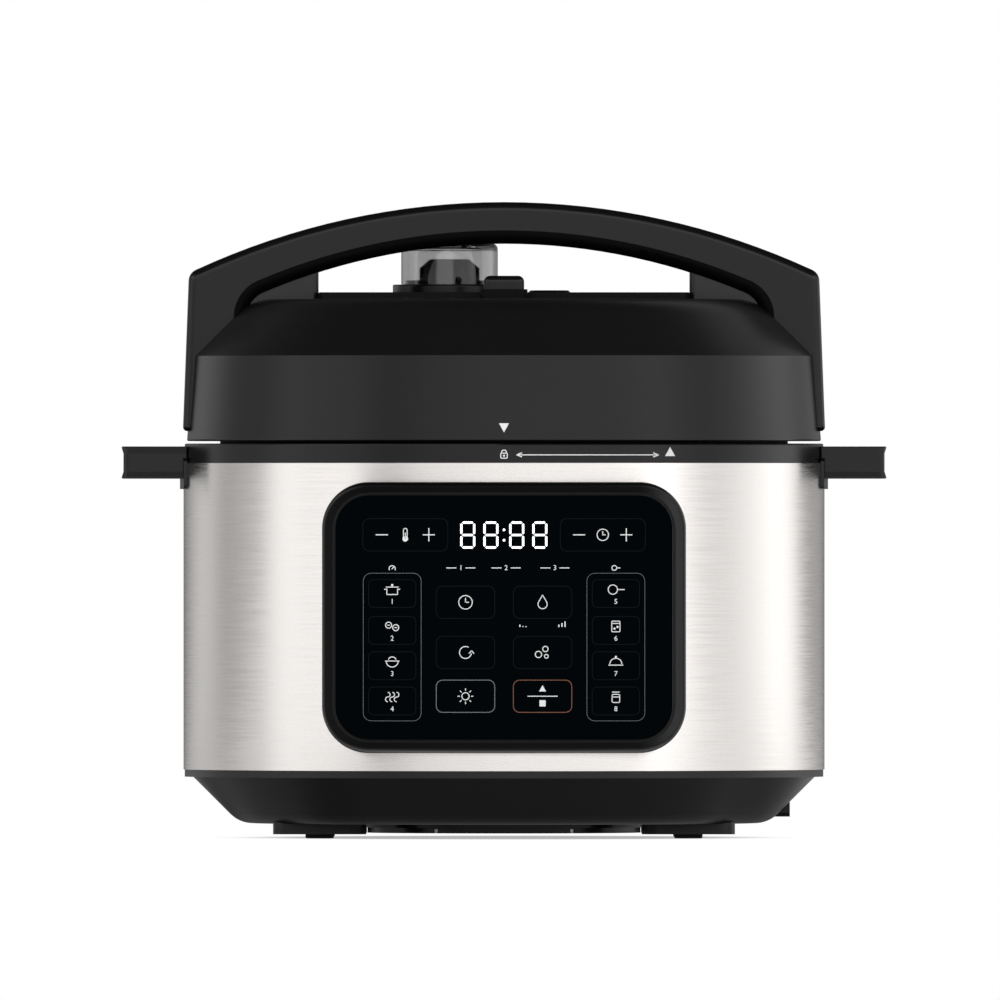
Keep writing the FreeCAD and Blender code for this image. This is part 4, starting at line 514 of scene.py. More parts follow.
# what the nodes of each slot are made of
FINISHES: dict[str, Finish] = {
    "base_plastic": MouldedPlastic("abs_moulded_grained_black", "#0d0d0e", 0.26, specular=0.35),
    "lid_plastic": MouldedPlastic("abs_moulded_satin_charcoal", "#0d0d0d", 0.26, specular=0.35),
    "dome_plastic": MouldedPlastic("abs_moulded_smooth_black", "#121213", 0.30, specular=0.34,
                                   depth=0.003 * MM),
    "body_steel": BrushedSteel("stainless_steel_brushed", "#f4f0ed", 0.28, metallic=1.0),
    "pot_steel": TurnedMetal("stainless_steel_spun", "#d3d1cd", 0.24, metallic=1.0),
    "cast_plate": TurnedMetal("aluminium_cast_turned", "#b9babc", 0.38, metallic=1.0, pitch=1.6 * MM),
    "foot_rubber": SoftRubber("rubber_moulded_black", "#161616", 0.75, specular=0.3),
    "silicone": SoftRubber("silicone_moulded_ivory", "#d9d6cc", 0.55, specular=0.4),
    "bezel_black": PolishedPlastic("abs_moulded_polished_black", "#080809", 0.2, specular=0.04),
    "panel_glass_black": BackedGlass("glass_backed_black", "#020507", 0.40, specular=0.008),
    "smoked_clear": SmokedClear("polycarbonate_moulded_smoked", "#c2c2c2", 0.05),
    "valve_grey": MouldedPlastic("polyamide_moulded_charcoal", "#151617", 0.26, specular=0.5),
    "zinc_steel": CastMetal("steel_zinc_plated", "#c2c4c6", 0.32, metallic=1.0),
    "brass": TurnedMetal("brass_turned", "#d9b56a", 0.28, metallic=1.0),
    "board_green": CircuitBoard("board_epoxy_masked", "#1d5a33", 0.35),
    "component_black": MouldedPlastic("epoxy_moulded_black", "#202122", 0.5),
    "lead_white": SoftRubber("silicone_sleeved_lead", "#d4d3cc", 0.6, specular=0.4),
}

# nodes that differ from the rest of their slot
NODE_FINISHES: dict[str, Finish] = {
    "base_shell": MouldedPlastic("abs_moulded_grained_deep_black", "#0b0b0c", 0.34, specular=0.38),
    "handle_liner": MouldedPlastic("abs_moulded_matt_black", "#040405", 0.55, specular=0.06),
    "outer_pot": EnamelledSteel("steel_enamelled_deep_black", "#050506", 0.55, specular=0.1),
    "locking_ring": EnamelledSteel("steel_enamelled_black", "#0c0c0d", 0.4, specular=0.3),
    "lid_deck": MouldedPlastic("abs_moulded_matt_deck", "#08080a", 0.5, specular=0.14),
    "pressure_weight": MouldedPlastic("polyamide_moulded_gloss_black", "#040405", 0.18, specular=0.26),
    # painted shade: the collar is darker and duller, in place of the shadow under the button's cap
    "button_collar": MouldedPlastic("abs_moulded_matt_collar_painted_shade", "#060607", 0.5, specular=0.12),
    "vent_pipe": TurnedMetal("stainless_steel_turned", "#cfcdc9", 0.26, metallic=1.0,
                             centre=(-26.4 * MM, 48.5 * MM)),
    "float_valve": TurnedMetal("aluminium_anodised_turned", "#c4c5c7", 0.30, metallic=1.0,
                               centre=(22.0 * MM, 40.0 * MM)),
}

WHITE_INK = ScreenInk("ink_screen_printed_white", "#eceded", 0.6, specular=0.1)
GREY_INK = ScreenInk("ink_screen_printed_grey", "#77797b", 0.6, specular=0.1)
AMBER_INK = ScreenInk("ink_screen_printed_amber", "#84594a", 0.6, specular=0.1)
SHADOW_INK = ScreenInk("ink_screen_printed_shadow", "#10151a", 0.6, specular=0.05)
# painted highlight: a lighter black that stands in for the glint round the panel's glass
PAINTED_HIGHLIGHT_BLACK = PolishedPlastic("abs_moulded_polished_painted_highlight", "#171718", 0.3, specular=0.06)
DISPLAY_WHITE = LitSegment("display_segment_lit", "#ffffff", 0.5, specular=0.0)


# Flat artwork


class Mark(Enum):
    """Kinds of stroke that a sign is drawn with, each given by its numbers in the order noted here."""

    LINE = "line"  # its two ends
    ARC = "arc"  # middle, radius, and start and sweep in degrees
    DOT = "dot"  # middle and radius
    BOX = "box"  # middle, width, height and corner


LINE, ARC, DOT, BOX = Mark


class Sign(Enum):
    """Plain signs for the keys, drawn on a grid ten units high: lines, arcs, dots and boxes."""

    THERMOMETER = (
        (ARC, (0, 3.4, 1.4, 0, 180)), (LINE, (-1.4, 3.4, -1.4, -1.6)),
        (LINE, (1.4, 3.4, 1.4, -1.6)), (DOT, (0, -3.0, 2.1)), (LINE, (0, -3, 0, 1.6)))
    CLOCK = (
        (ARC, (0, 0, 4.3, 90, 360)), (LINE, (0, -0.3, 0, 2.8)), (LINE, (-0.3, 0, 2.2, 0)))
    GAUGE = (
        (ARC, (0, -1.2, 4.4, -25, 230)), (LINE, (0, -1.2, 2.3, 1.5)), (DOT, (0, -1.2, 0.8)))
    PAN = (
        (ARC, (-2.2, 0, 3.4, 0, 360)), (LINE, (1.2, 0, 6.4, 0)))
    POT = (
        (LINE, (-4.6, 1.8, 4.6, 1.8)), (LINE, (-3.9, 0.8, -3.9, -3.6)),
        (LINE, (3.9, 0.8, 3.9, -3.6)), (LINE, (-3.9, -3.6, 3.9, -3.6)),
        (LINE, (-5.8, 0.2, -3.9, 0.2)), (LINE, (3.9, 0.2, 5.8, 0.2)), (DOT, (0, 3.2, 0.9)))
    BEANS = (
        (ARC, (-2.6, 0.9, 2.2, 0, 360)), (ARC, (2.6, -0.9, 2.2, 0, 360)),
        (LINE, (-3.6, 0.9, -1.6, 0.9)), (LINE, (1.6, -0.9, 3.6, -0.9)))
    BOWL = (
        (LINE, (-5.2, 0.6, 5.2, 0.6)), (ARC, (0, 0.6, 4.4, 180, 180)),
        (ARC, (0, 0.6, 3.0, 20, 140)))
    STEAM = (
        (ARC, (-3.2, 1.7, 1.7, -90, 180)), (ARC, (-3.2, -1.7, 1.7, 90, 180)),
        (ARC, (0, 1.7, 1.7, -90, 180)), (ARC, (0, -1.7, 1.7, 90, 180)),
        (ARC, (3.2, 1.7, 1.7, -90, 180)), (ARC, (3.2, -1.7, 1.7, 90, 180)))
    BAG = (
        (BOX, (0, 0, 6.6, 8.4, 1.0)), (LINE, (-3.3, 2.2, 3.3, 2.2)), (DOT, (-1.0, -1.6, 0.8)),
        (DOT, (1.2, -0.4, 0.8)))
    CLOCHE = (
        (LINE, (-5.4, -2.4, 5.4, -2.4)), (ARC, (0, -1.8, 4.4, 0, 180)), (DOT, (0, 3.6, 0.8)))
    JAR = (
        (BOX, (0, -1.0, 6.2, 6.6, 1.4)), (LINE, (-2.8, 3.6, 2.8, 3.6)), (LINE, (-3.1, 0, 3.1, 0)))
    DROP = (
        (ARC, (0, -1.2, 2.9, 150, 240)), (LINE, (-2.5, 0.3, 0, 4.6)), (LINE, (2.5, 0.3, 0, 4.6)))
    AGAIN = (
        (ARC, (0, 0, 3.8, 60, 290)), (LINE, (3.8, 1.2, 2.2, -0.7)), (LINE, (3.8, 1.2, 5.4, -0.7)))
    BUBBLES = (
        (ARC, (-2.6, -1.2, 2.0, 0, 360)), (ARC, (1.8, 2.2, 1.7, 0, 360)),
        (ARC, (2.4, -2.4, 1.2, 0, 360)))
    SUN = (
        (ARC, (0, 0, 2.3, 0, 360)), (LINE, (3.5, 0, 5.0, 0)), (LINE, (-5.0, 0, -3.5, 0)),
        (LINE, (0, 3.5, 0, 5.0)), (LINE, (0, -5.0, 0, -3.5)), (LINE, (2.5, 2.5, 3.5, 3.5)),
        (LINE, (-3.5, -3.5, -2.5, -2.5)), (LINE, (-3.5, 3.5, -2.5, 2.5)),
        (LINE, (2.5, -2.5, 3.5, -3.5)))
    LOW_HEAT = ((LINE, (-3.2, -2.0, -3.2, 0.4)), (LINE, (0, -2.0, 0, -1.2)),
                (LINE, (3.2, -2.0, 3.2, -1.2)))
    HIGH_HEAT = ((LINE, (-3.2, -2.0, -3.2, 0.4)), (LINE, (0, -2.0, 0, 2.0)),
                 (LINE, (3.2, -2.0, 3.2, 3.6)))
    PADLOCK = ((BOX, (0, -1.6, 6.4, 5.2, 1.2)), (ARC, (0, 1.0, 2.2, 0, 180)),
               (DOT, (0, -1.6, 0.9)))


class Stencil:
    """Flat artwork in one ink, drawn in front of the cooker and then pressed onto a surface behind it.

    Every stroke starts as an edge across it that is extruded or spun, or as a plane or circle.
    """

    FRONT = -0.2  # where the drawing plane stands, in front of the cooker
    UPRIGHT = (math.pi / 2, 0.0, 0.0)  # turns what lies flat to face the front
    SLICE = 2 * MM  # the artwork is cut this fine so that it can follow a round surface
    MERGE = 0.001 * MM  # points closer than this become one
    INK = 0.04 * MM  # thickness of the ink
    LIFT = 0.02 * MM  # how far the ink stands off what it is printed on
    ARC_STEP = 15.0  # degrees to one face of an arc
    ARC_LEAST = 8  # faces in the shortest arc
    DOT_CORNERS = 20
    CORNER_STEPS = 6
    TYPE_SHARE = 0.7  # height of a figure as a share of its type size
    TYPE_STEPS = 3

    def __init__(self, name: str) -> None:
        """Starts a new sheet of artwork.

        Args:
            name: Name of the piece.
        """
        bpy.ops.object.select_all(action="DESELECT")
        bpy.ops.object.add(type="MESH", location=(0.0, 0.0, 0.0))
        self.piece = bpy.context.object
        self.piece.name = name
        self.numerals: list[Piece] = []

    def open(self) -> None:
        """Makes sure that the artwork is in edit mode."""
        if self.piece.mode != "EDIT":
            bpy.context.view_layer.objects.active = self.piece
            bpy.ops.object.mode_set(mode="EDIT")

    def shut(self) -> None:
        """Makes sure that the artwork is in object mode."""
        if self.piece.mode == "EDIT":
            bpy.ops.object.mode_set(mode="OBJECT")

    def point(self, x: float, z: float) -> Vector:
        """Returns a point of the drawing plane."""
        return Vector((x, self.FRONT, z))

    def start_edge(self, middle: Vector, across: Vector, width: float) -> None:
        """Makes a single selected edge across a stroke.

        Args:
            middle: Middle of the edge.
            across: Direction of the edge.
            width: Length of the edge.
        """
        self.open()
        bpy.ops.mesh.select_all(action="DESELECT")
        drawing = bmesh.from_edit_mesh(self.piece.data)
        ends = [drawing.verts.new(middle + across.normalized() * width * share) for share in (-0.5, 0.5)]
        drawing.edges.new(ends).select_set(True)
        bmesh.update_edit_mesh(self.piece.data)

    def line(self, x0: float, z0: float, x1: float, z1: float, width: float) -> None:
        """Draws a straight stroke: an edge extruded from one end to the other.

        Args:
            x0: Start, sideways.
            z0: Start, upwards.
            x1: End, sideways.
            z1: End, upwards.
            width: Width of the stroke.
        """
        run = self.point(x1, z1) - self.point(x0, z0)
        self.start_edge(self.point(x0, z0), Vector((-run.z, 0.0, run.x)), width)
        bpy.ops.mesh.extrude_edges_move(TRANSFORM_OT_translate={"value": run})

    def arc(self, x: float, z: float, radius: float, start: float, sweep: float, width: float) -> None:
        """Draws a round stroke: an edge spun about the middle.

        Args:
            x: Middle, sideways.
            z: Middle, upwards.
            radius: Radius to the middle of the stroke.
            start: Where it starts, in degrees against the clock from the right.
            sweep: How far it goes round, in degrees.
            width: Width of the stroke.
        """
        angle = math.radians(start)
        outward = Vector((math.cos(angle), 0.0, math.sin(angle)))
        self.start_edge(self.point(x, z) + outward * radius, outward, width)
        steps = max(self.ARC_LEAST, round(sweep / self.ARC_STEP))
        bpy.ops.mesh.spin(steps=steps, angle=math.radians(sweep), center=self.point(x, z),
                          axis=(0.0, 1.0, 0.0))

    def dot(self, x: float, z: float, radius: float) -> None:
        """Draws a filled disc.

        Args:
            x: Middle, sideways.
            z: Middle, upwards.
            radius: Radius of the disc.
        """
        self.open()
        bpy.ops.mesh.primitive_circle_add(vertices=self.DOT_CORNERS, radius=radius, fill_type="NGON",
                                          location=self.point(x, z), rotation=self.UPRIGHT)

    def triangle(self, x: float, z: float, width: float, height: float, up: bool) -> None:
        """Draws a filled triangle, from one in a circle of radius 1, which is root 3 wide and 1.5 high.

        Args:
            x: Middle of that circle, sideways.
            z: Middle of that circle, upwards.
            width: Width of the triangle.
            height: Height of the triangle.
            up: Whether it points up.
        """
        self.open()
        bpy.ops.mesh.primitive_circle_add(vertices=3, radius=1.0, fill_type="NGON", location=self.point(x, z),
                                          rotation=(math.pi / 2, 0.0 if up else math.pi, 0.0))
        bpy.ops.transform.resize(value=(width / math.sqrt(3), 1.0, height / 1.5),
                                 center_override=self.point(x, z))

    def plate(self, x: float, z: float, width: float, height: float, corner: float,
              steps: int = CORNER_STEPS) -> None:
        """Draws a filled box.

        Args:
            x: Middle, sideways.
            z: Middle, upwards.
            width: Width of the box.
            height: Height of the box.
            corner: How much of each corner is taken off.
            steps: Faces in a corner: round with several, cut straight with one.
        """
        self.open()
        bpy.ops.mesh.primitive_plane_add(size=1.0, location=self.point(x, z), rotation=self.UPRIGHT)
        bpy.ops.transform.resize(value=(width, 1.0, height), center_override=self.point(x, z))
        bpy.ops.mesh.bevel(affect="VERTICES", offset=corner, segments=steps)

    def box(self, x: float, z: float, width: float, height: float, corner: float, stroke: float) -> None:
        """Draws the outline of a rounded box: a plate, inset and with its middle taken out.

        Args:
            x: Middle, sideways.
            z: Middle, upwards.
            width: Width of the box.
            height: Height of the box.
            corner: Radius of its corners.
            stroke: Width of the outline.
        """
        self.plate(x, z, width, height, corner)
        bpy.ops.mesh.inset(thickness=stroke)
        bpy.ops.mesh.delete(type="ONLY_FACE")

    def sign(self, sign: Sign, x: float, z: float, height: float, stroke: float) -> None:
        """Draws one of the plain signs.

        Args:
            sign: Which sign.
            x: Middle of the sign, sideways.
            z: Middle of the sign, upwards.
            height: Height of its grid of ten units.
            stroke: Width of its strokes.
        """
        unit = height / 10
        for mark, numbers in sign.value:
            if mark is Mark.LINE:
                x0, z0, x1, z1 = (n * unit for n in numbers)
                self.line(x + x0, z + z0, x + x1, z + z1, stroke)
            elif mark is Mark.ARC:
                cx, cz, radius = (n * unit for n in numbers[:3])
                self.arc(x + cx, z + cz, radius, numbers[3], numbers[4], stroke)
            elif mark is Mark.DOT:
                cx, cz, radius = (n * unit for n in numbers)
                self.dot(x + cx, z + cz, radius)
            else:
                cx, cz, width, tall, corner = (n * unit for n in numbers)
                self.box(x + cx, z + cz, width, tall, corner, stroke)

    def numeral(self, number: int, x: float, z: float, height: float) -> None:
        """Sets a plain number, made a mesh at once so that it can be joined to the artwork.

        Args:
            number: Which number.
            x: Middle, sideways.
            z: Middle, upwards.
            height: Height of its figures.
        """
        self.shut()
        bpy.ops.object.select_all(action="DESELECT")
        bpy.ops.object.text_add(location=(0.0, 0.0, 0.0))
        text = bpy.context.object
        text.data.body = str(number)
        text.data.align_x = "CENTER"
        text.data.align_y = "CENTER"
        text.data.size = height / self.TYPE_SHARE
        text.data.resolution_u = self.TYPE_STEPS
        bpy.ops.object.convert(target="MESH")
        text.location = self.point(x, z)
        text.rotation_euler = self.UPRIGHT
        bpy.ops.object.transform_apply(location=True, rotation=True, scale=True)
        self.numerals.append(text)

    def press(self, node: str, finish: Finish) -> Piece:
        """Presses the artwork onto a CAD node and gives it thickness and ink.

        Args:
            node: The node that carries the print.
            finish: The ink.

        Returns:
            The finished piece, which rides with the node's body.
        """
        self.gather()
        self.cut_strips()
        carrier = frame["nodes"][node]
        self.apply("SHRINKWRAP", target=carrier, wrap_method="PROJECT", wrap_mode="ABOVE_SURFACE",
                   use_project_y=True, use_positive_direction=True, use_negative_direction=False,
                   offset=self.LIFT)
        self.apply("SOLIDIFY", thickness=self.INK, offset=1.0, use_even_offset=False)
        dress(self.piece, finish.material(), carrier["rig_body"])
        return self.piece

    def gather(self) -> None:
        """Joins the numbers to the rest of the artwork."""
        self.shut()
        bpy.ops.object.select_all(action="DESELECT")
        for item in (*self.numerals, self.piece):
            item.select_set(True)
        bpy.context.view_layer.objects.active = self.piece
        if self.numerals:
            bpy.ops.object.join()

    def cut_strips(self) -> None:
        """Cuts the artwork into narrow strips, merges doubled points and turns all faces to the front."""
        self.open()
        reach = max(abs(vertex.co.x) for vertex in bmesh.from_edit_mesh(self.piece.data).verts)
        count = math.ceil(reach / self.SLICE)
        for i in range(-count, count + 1):
            bpy.ops.mesh.select_all(action="SELECT")
            bpy.ops.mesh.bisect(plane_co=(i * self.SLICE, 0.0, 0.0), plane_no=(1.0, 0.0, 0.0))
        bpy.ops.mesh.select_all(action="SELECT")
        bpy.ops.mesh.remove_doubles(threshold=self.MERGE)
        bpy.ops.mesh.select_all(action="DESELECT")
        for face in bmesh.from_edit_mesh(self.piece.data).faces:
            face.select_set(face.normal.y > 0)
        bpy.ops.mesh.flip_normals()
        self.shut()

    def apply(self, kind: str, **settings: object) -> None:
        """Adds a modifier to the artwork and applies it.

        Args:
            kind: The modifier's type name.
            **settings: Properties of the modifier.
        """
        modifier = self.piece.modifiers.new(kind.lower(), kind)
        for name, value in settings.items():
            setattr(modifier, name, value)
        bpy.ops.object.modifier_apply(modifier=modifier.name)


@dataclass
class Display(SubAssembly):
    """Lit clock display: four seven-segment figures and a colon."""

    middle_z: float = 146.4 * MM
    places: tuple[float, ...] = (-17.4 * MM, -6.3 * MM, 6.1 * MM, 17.2 * MM)
    width: float = 7.2 * MM
    height: float = 13.0 * MM
    segment: float = 1.05 * MM
    gap: float = 0.42 * MM
    cut: float = 0.42  # what is cut off a segment's corner, as a share of its width
    colon_half: float = 2.5 * MM
    colon_width: float = 1.2 * MM
    colon_corner: float = 0.5 * MM

    def build(self) -> list[Piece]:
        """Draws the figures and presses them onto the glass.

        Returns:
            The lit figures.
        """
        stencil = Stencil("display_figures")
        for x in self.places:
            self.figure(stencil, x)
        for level in (-1, 1):
            stencil.plate(0.0, self.middle_z + self.colon_half * level, self.colon_width, self.colon_width,
                          self.colon_corner)
        return [stencil.press("panel_glass", DISPLAY_WHITE)]

    def figure(self, stencil: Stencil, x: float) -> None:
        """Draws one figure with all seven segments lit.

        Args:
            stencil: The artwork.
            x: Middle of the figure, sideways.
        """
        bar = self.width - self.segment - self.gap * 2
        post = self.height / 2 - self.segment / 2 - self.gap * 2
        cut = self.segment * self.cut
        side = (self.width - self.segment) / 2
        for level in (-1, 0, 1):
            z = self.middle_z + level * (self.height - self.segment) / 2
            stencil.plate(x, z, bar, self.segment, cut, steps=1)
        for level in (-1, 1):
            z = self.middle_z + level * (self.height - self.segment) / 4
            for across in (-1, 1):
                stencil.plate(x + side * across, z, self.segment, post, cut, steps=1)


@dataclass
class KeyColumn:
    """One column of keys: where it stands and what its keys show."""

    x: float
    levels: tuple[float, ...]
    signs: tuple[Sign, ...]
    first_number: int = 0


@dataclass
class PanelPrint(SubAssembly):
    """Print on the glass: keys, their plain signs and numbers, and the outlines round them; and a painted
    highlight on the frame round the glass.
    """

    # the two groups of numbered keys at the sides
    group_x: float = 53.7 * MM
    group_middle: float = 92.6 * MM
    group_size: tuple[float, float] = (28.0 * MM, 71.1 * MM)
    group_corner: float = 3.9 * MM
    group_outline: float = 0.18 * MM
    group_levels: tuple[float, ...] = (118.3 * MM, 100.6 * MM, 83.6 * MM, 66.7 * MM)
    group_key: tuple[float, float] = (23.0 * MM, 13.7 * MM)
    group_key_corner: float = 2.56 * MM
    group_sign: float = 6.6 * MM
    group_sign_rise: float = 1.9 * MM
    group_figure_drop: float = 3.9 * MM
    # the keys in the middle
    centre_x: float = 18.5 * MM
    centre_size: tuple[float, float] = (28.4 * MM, 15.8 * MM)
    centre_levels: tuple[float, ...] = (114.1 * MM, 90.0 * MM, 69.0 * MM)
    centre_sign: float = 7.59 * MM
    key_corner: float = 3.2 * MM
    outline: float = 0.3 * MM
    lower_outline: float = 0.33 * MM
    # start and stop on the last of them
    start_rise: float = 3.3 * MM
    start_size: tuple[float, float] = (3.4 * MM, 3.0 * MM)
    between_half: float = 7.2 * MM
    stop_drop: float = 3.4 * MM
    stop_size: float = 3.0 * MM
    stop_corner: float = 0.3 * MM
    # the two settings at the top, each between minus and plus
    setting_x: float = 47.4 * MM
    setting_z: float = 146.5 * MM
    setting_size: tuple[float, float] = (41.1 * MM, 15.9 * MM)
    setting_sign: float = 6.38 * MM
    plus_offset: float = 11.3 * MM
    plus_half: float = 2.9 * MM
    plus_rise: float = 3.19 * MM
    plus_stroke: float = 0.483 * MM
    # the row below them and the heat marks
    title_z: float = 130.6 * MM
    title_sign: float = 3.4 * MM
    stage_places: tuple[float, ...] = (-20.7 * MM, 1.0 * MM, 24.4 * MM)
    stage_dash: tuple[float, float] = (2.2 * MM, 7.0 * MM)  # its ends, from the number outwards
    heat_z: float = 103.2 * MM
    heat_places: tuple[float, float] = (9.1 * MM, 27.8 * MM)
    heat_sign: float = 4.62 * MM
    heat_stroke: float = 0.588 * MM
    stroke: float = 0.42 * MM
    figure_height: float = 2.4 * MM
    # a painted highlight round the glass: a lighter line in place of the glint where the frame turns in to it
    lip_middle: float = 106.75 * MM
    lip_size: tuple[float, float] = (165.0 * MM, 120.3 * MM)
    lip_corner: float = 17.6 * MM
    lip_width: float = 1.3 * MM

    def build(self) -> list[Piece]:
        """Draws all the inks and the painted highlight, presses them onto the glass and its frame and returns
        them.
        """
        return [self.lip(), self.faint_keys(), self.outlines(), self.start_outline(), self.signs()]

    def lip(self) -> Piece:
        """Draws a painted highlight: a narrow lighter line round the glass, where the frame turns in to it.

        Returns:
            The line.
        """
        stencil = Stencil("panel_bezel_painted_highlight")
        stencil.box(0.0, self.lip_middle, *self.lip_size, self.lip_corner, self.lip_width)
        return stencil.press("panel_bezel", PAINTED_HIGHLIGHT_BLACK)

    def faint_keys(self) -> Piece:
        """Draws the key fields that show only as a shade on the black.

        Returns:
            The key fields.
        """
        stencil = Stencil("panel_print_fields")
        for side in (-1, 1):
            stencil.box(self.setting_x * side, self.setting_z, *self.setting_size, self.key_corner,
                        self.outline)
            for z in self.group_levels:
                stencil.box(self.group_x * side, z, *self.group_key, self.group_key_corner, self.outline)
            for z in self.centre_levels[:2]:
                stencil.box(self.centre_x * side, z, *self.centre_size, self.key_corner, self.outline)
        return stencil.press("panel_glass", SHADOW_INK)

    def outlines(self) -> Piece:
        """Draws the outlines of the two groups and of the lower left key.

        Returns:
            The grey outlines.
        """
        grey = Stencil("panel_print_outlines")
        for side in (-1, 1):
            grey.box(self.group_x * side, self.group_middle, *self.group_size, self.group_corner,
                     self.group_outline)
        grey.box(-self.centre_x, self.centre_levels[-1], *self.centre_size, self.key_corner,
                 self.lower_outline)
        return grey.press("panel_glass", GREY_INK)

    def start_outline(self) -> Piece:
        """Draws the outline of the start key.

        Returns:
            The amber outline.
        """
        amber = Stencil("panel_print_start_key")
        amber.box(self.centre_x, self.centre_levels[-1], *self.centre_size, self.key_corner,
                  self.lower_outline)
        return amber.press("panel_glass", AMBER_INK)

    def signs(self) -> Piece:
        """Draws the white signs and numbers.

        Returns:
            The signs and numbers.
        """
        white = Stencil("panel_print_signs")
        for x, sign in ((-self.setting_x, Sign.THERMOMETER), (self.setting_x, Sign.CLOCK)):
            self.setting_signs(white, x, sign)
        for x, sign in ((-self.group_x, Sign.GAUGE), (self.group_x, Sign.PAN)):
            white.sign(sign, x, self.title_z, self.title_sign, self.stroke)
        for number, x in enumerate(self.stage_places, 1):
            white.numeral(number, x, self.title_z, self.figure_height)
            for side in (-1, 1):
                near, far = (x + side * end for end in self.stage_dash)
                white.line(near, self.title_z, far, self.title_z, self.stroke)
        for x, sign in zip(self.heat_places, (Sign.LOW_HEAT, Sign.HIGH_HEAT)):
            white.sign(sign, x, self.heat_z, self.heat_sign, self.heat_stroke)
        for column in self.columns():
            self.column_signs(white, column)
        self.start_signs(white)
        return white.press("panel_glass", WHITE_INK)

    def setting_signs(self, stencil: Stencil, x: float, sign: Sign) -> None:
        """Draws the sign of one setting between its minus and plus.

        Args:
            stencil: The artwork.
            x: Middle of the setting, sideways.
            sign: What is set.
        """
        z, half = self.setting_z, self.plus_half
        left, right = x - self.plus_offset, x + self.plus_offset
        stencil.line(left - half, z, left + half, z, self.plus_stroke)
        stencil.line(right - half, z, right + half, z, self.plus_stroke)
        stencil.line(right, z - self.plus_rise, right, z + self.plus_rise, self.plus_stroke)
        stencil.sign(sign, x, z, self.setting_sign, self.stroke)

    def columns(self) -> list[KeyColumn]:
        """Lists the columns of keys.

        Returns:
            The four columns from left to right.
        """
        return [
            KeyColumn(-self.group_x, self.group_levels, (Sign.POT, Sign.BEANS, Sign.BOWL, Sign.STEAM),
                      first_number=1),
            KeyColumn(-self.centre_x, self.centre_levels, (Sign.CLOCK, Sign.AGAIN, Sign.SUN)),
            KeyColumn(self.centre_x, self.centre_levels[:2], (Sign.DROP, Sign.BUBBLES)),
            KeyColumn(self.group_x, self.group_levels, (Sign.PAN, Sign.BAG, Sign.CLOCHE, Sign.JAR),
                      first_number=5),
        ]

    def column_signs(self, stencil: Stencil, column: KeyColumn) -> None:
        """Draws the signs of one column, with a number under each if the column is numbered.

        Args:
            stencil: The artwork.
            column: The column of keys.
        """
        for row, (z, sign) in enumerate(zip(column.levels, column.signs)):
            if column.first_number:
                stencil.sign(sign, column.x, z + self.group_sign_rise, self.group_sign, self.stroke)
                stencil.numeral(column.first_number + row, column.x, z - self.group_figure_drop,
                                self.figure_height)
            else:
                stencil.sign(sign, column.x, z, self.centre_sign, self.stroke)

    def start_signs(self, stencil: Stencil) -> None:
        """Draws the start and stop signs with a line between them.

        Args:
            stencil: The artwork.
        """
        x, z = self.centre_x, self.centre_levels[-1]
        stencil.triangle(x, z + self.start_rise, *self.start_size, up=True)
        stencil.line(x - self.between_half, z, x + self.between_half, z, self.stroke)
        stencil.plate(x, z - self.stop_drop, self.stop_size, self.stop_size, self.stop_corner)


@dataclass
class LidMarks(SubAssembly):
    """White marks that show how the lid turns: a pointer on the lid, a padlock and an arrow on the ring."""

    pointer_z: float = 198.6 * MM
    pointer_size: tuple[float, float] = (4.8 * MM, 4.4 * MM)
    padlock_z: float = 185.4 * MM
    padlock_height: float = 5.6 * MM
    arrow_z: float = 184.9 * MM
    arrow_ends: tuple[float, float] = (5.9 * MM, 74.4 * MM)
    arrow_head: tuple[float, float] = (2.72 * MM, 1.02 * MM)  # length and half the height
    open_x: float = 79.8 * MM
    open_z: float = 185.8 * MM
    stroke: float = 0.45 * MM

    def build(self) -> list[Piece]:
        """Draws the marks, presses them onto the skirt and the ring and returns them."""
        return [self.pointer(), self.ring_marks()]

    def pointer(self) -> Piece:
        """Draws the pointer on the lid's skirt.

        Returns:
            The pointer.
        """
        stencil = Stencil("lid_pointer_print")
        stencil.triangle(0.0, self.pointer_z, *self.pointer_size, up=False)
        return stencil.press("lid_skirt", WHITE_INK)

    def ring_marks(self) -> Piece:
        """Draws the marks for shut and open on the ring, and the arrow between them.

        Returns:
            The marks.
        """
        ring = Stencil("ring_marks_print")
        ring.sign(Sign.PADLOCK, 0.0, self.padlock_z, self.padlock_height, self.stroke)
        near, far = self.arrow_ends
        ring.line(near, self.arrow_z, far, self.arrow_z, self.stroke)
        length, half = self.arrow_head
        for tip, inward in ((near, 1), (far, -1)):
            for level in (-1, 1):
                ring.line(tip, self.arrow_z, tip + length * inward, self.arrow_z + half * level, self.stroke)
        ring.triangle(self.open_x, self.open_z, *self.pointer_size, up=True)
        return ring.press("top_ring", WHITE_INK)


# Solid pieces


class Cooker(SubAssembly):
    """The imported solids, each dressed in its own finish or that of its slot."""

    def build(self) -> list[Piece]:
        """Gives every node its material.

        Returns:
            The nodes.
        """
        nodes = []
        for part in frame["record"]["subparts"]:
            name = part["node"]
            finish = NODE_FINISHES.get(name, FINISHES[part["material_slot"]])
            node = frame["nodes"][name]
            node.data.materials.clear()
            node.data.materials.append(finish.material())
            nodes.append(node)
        return nodes


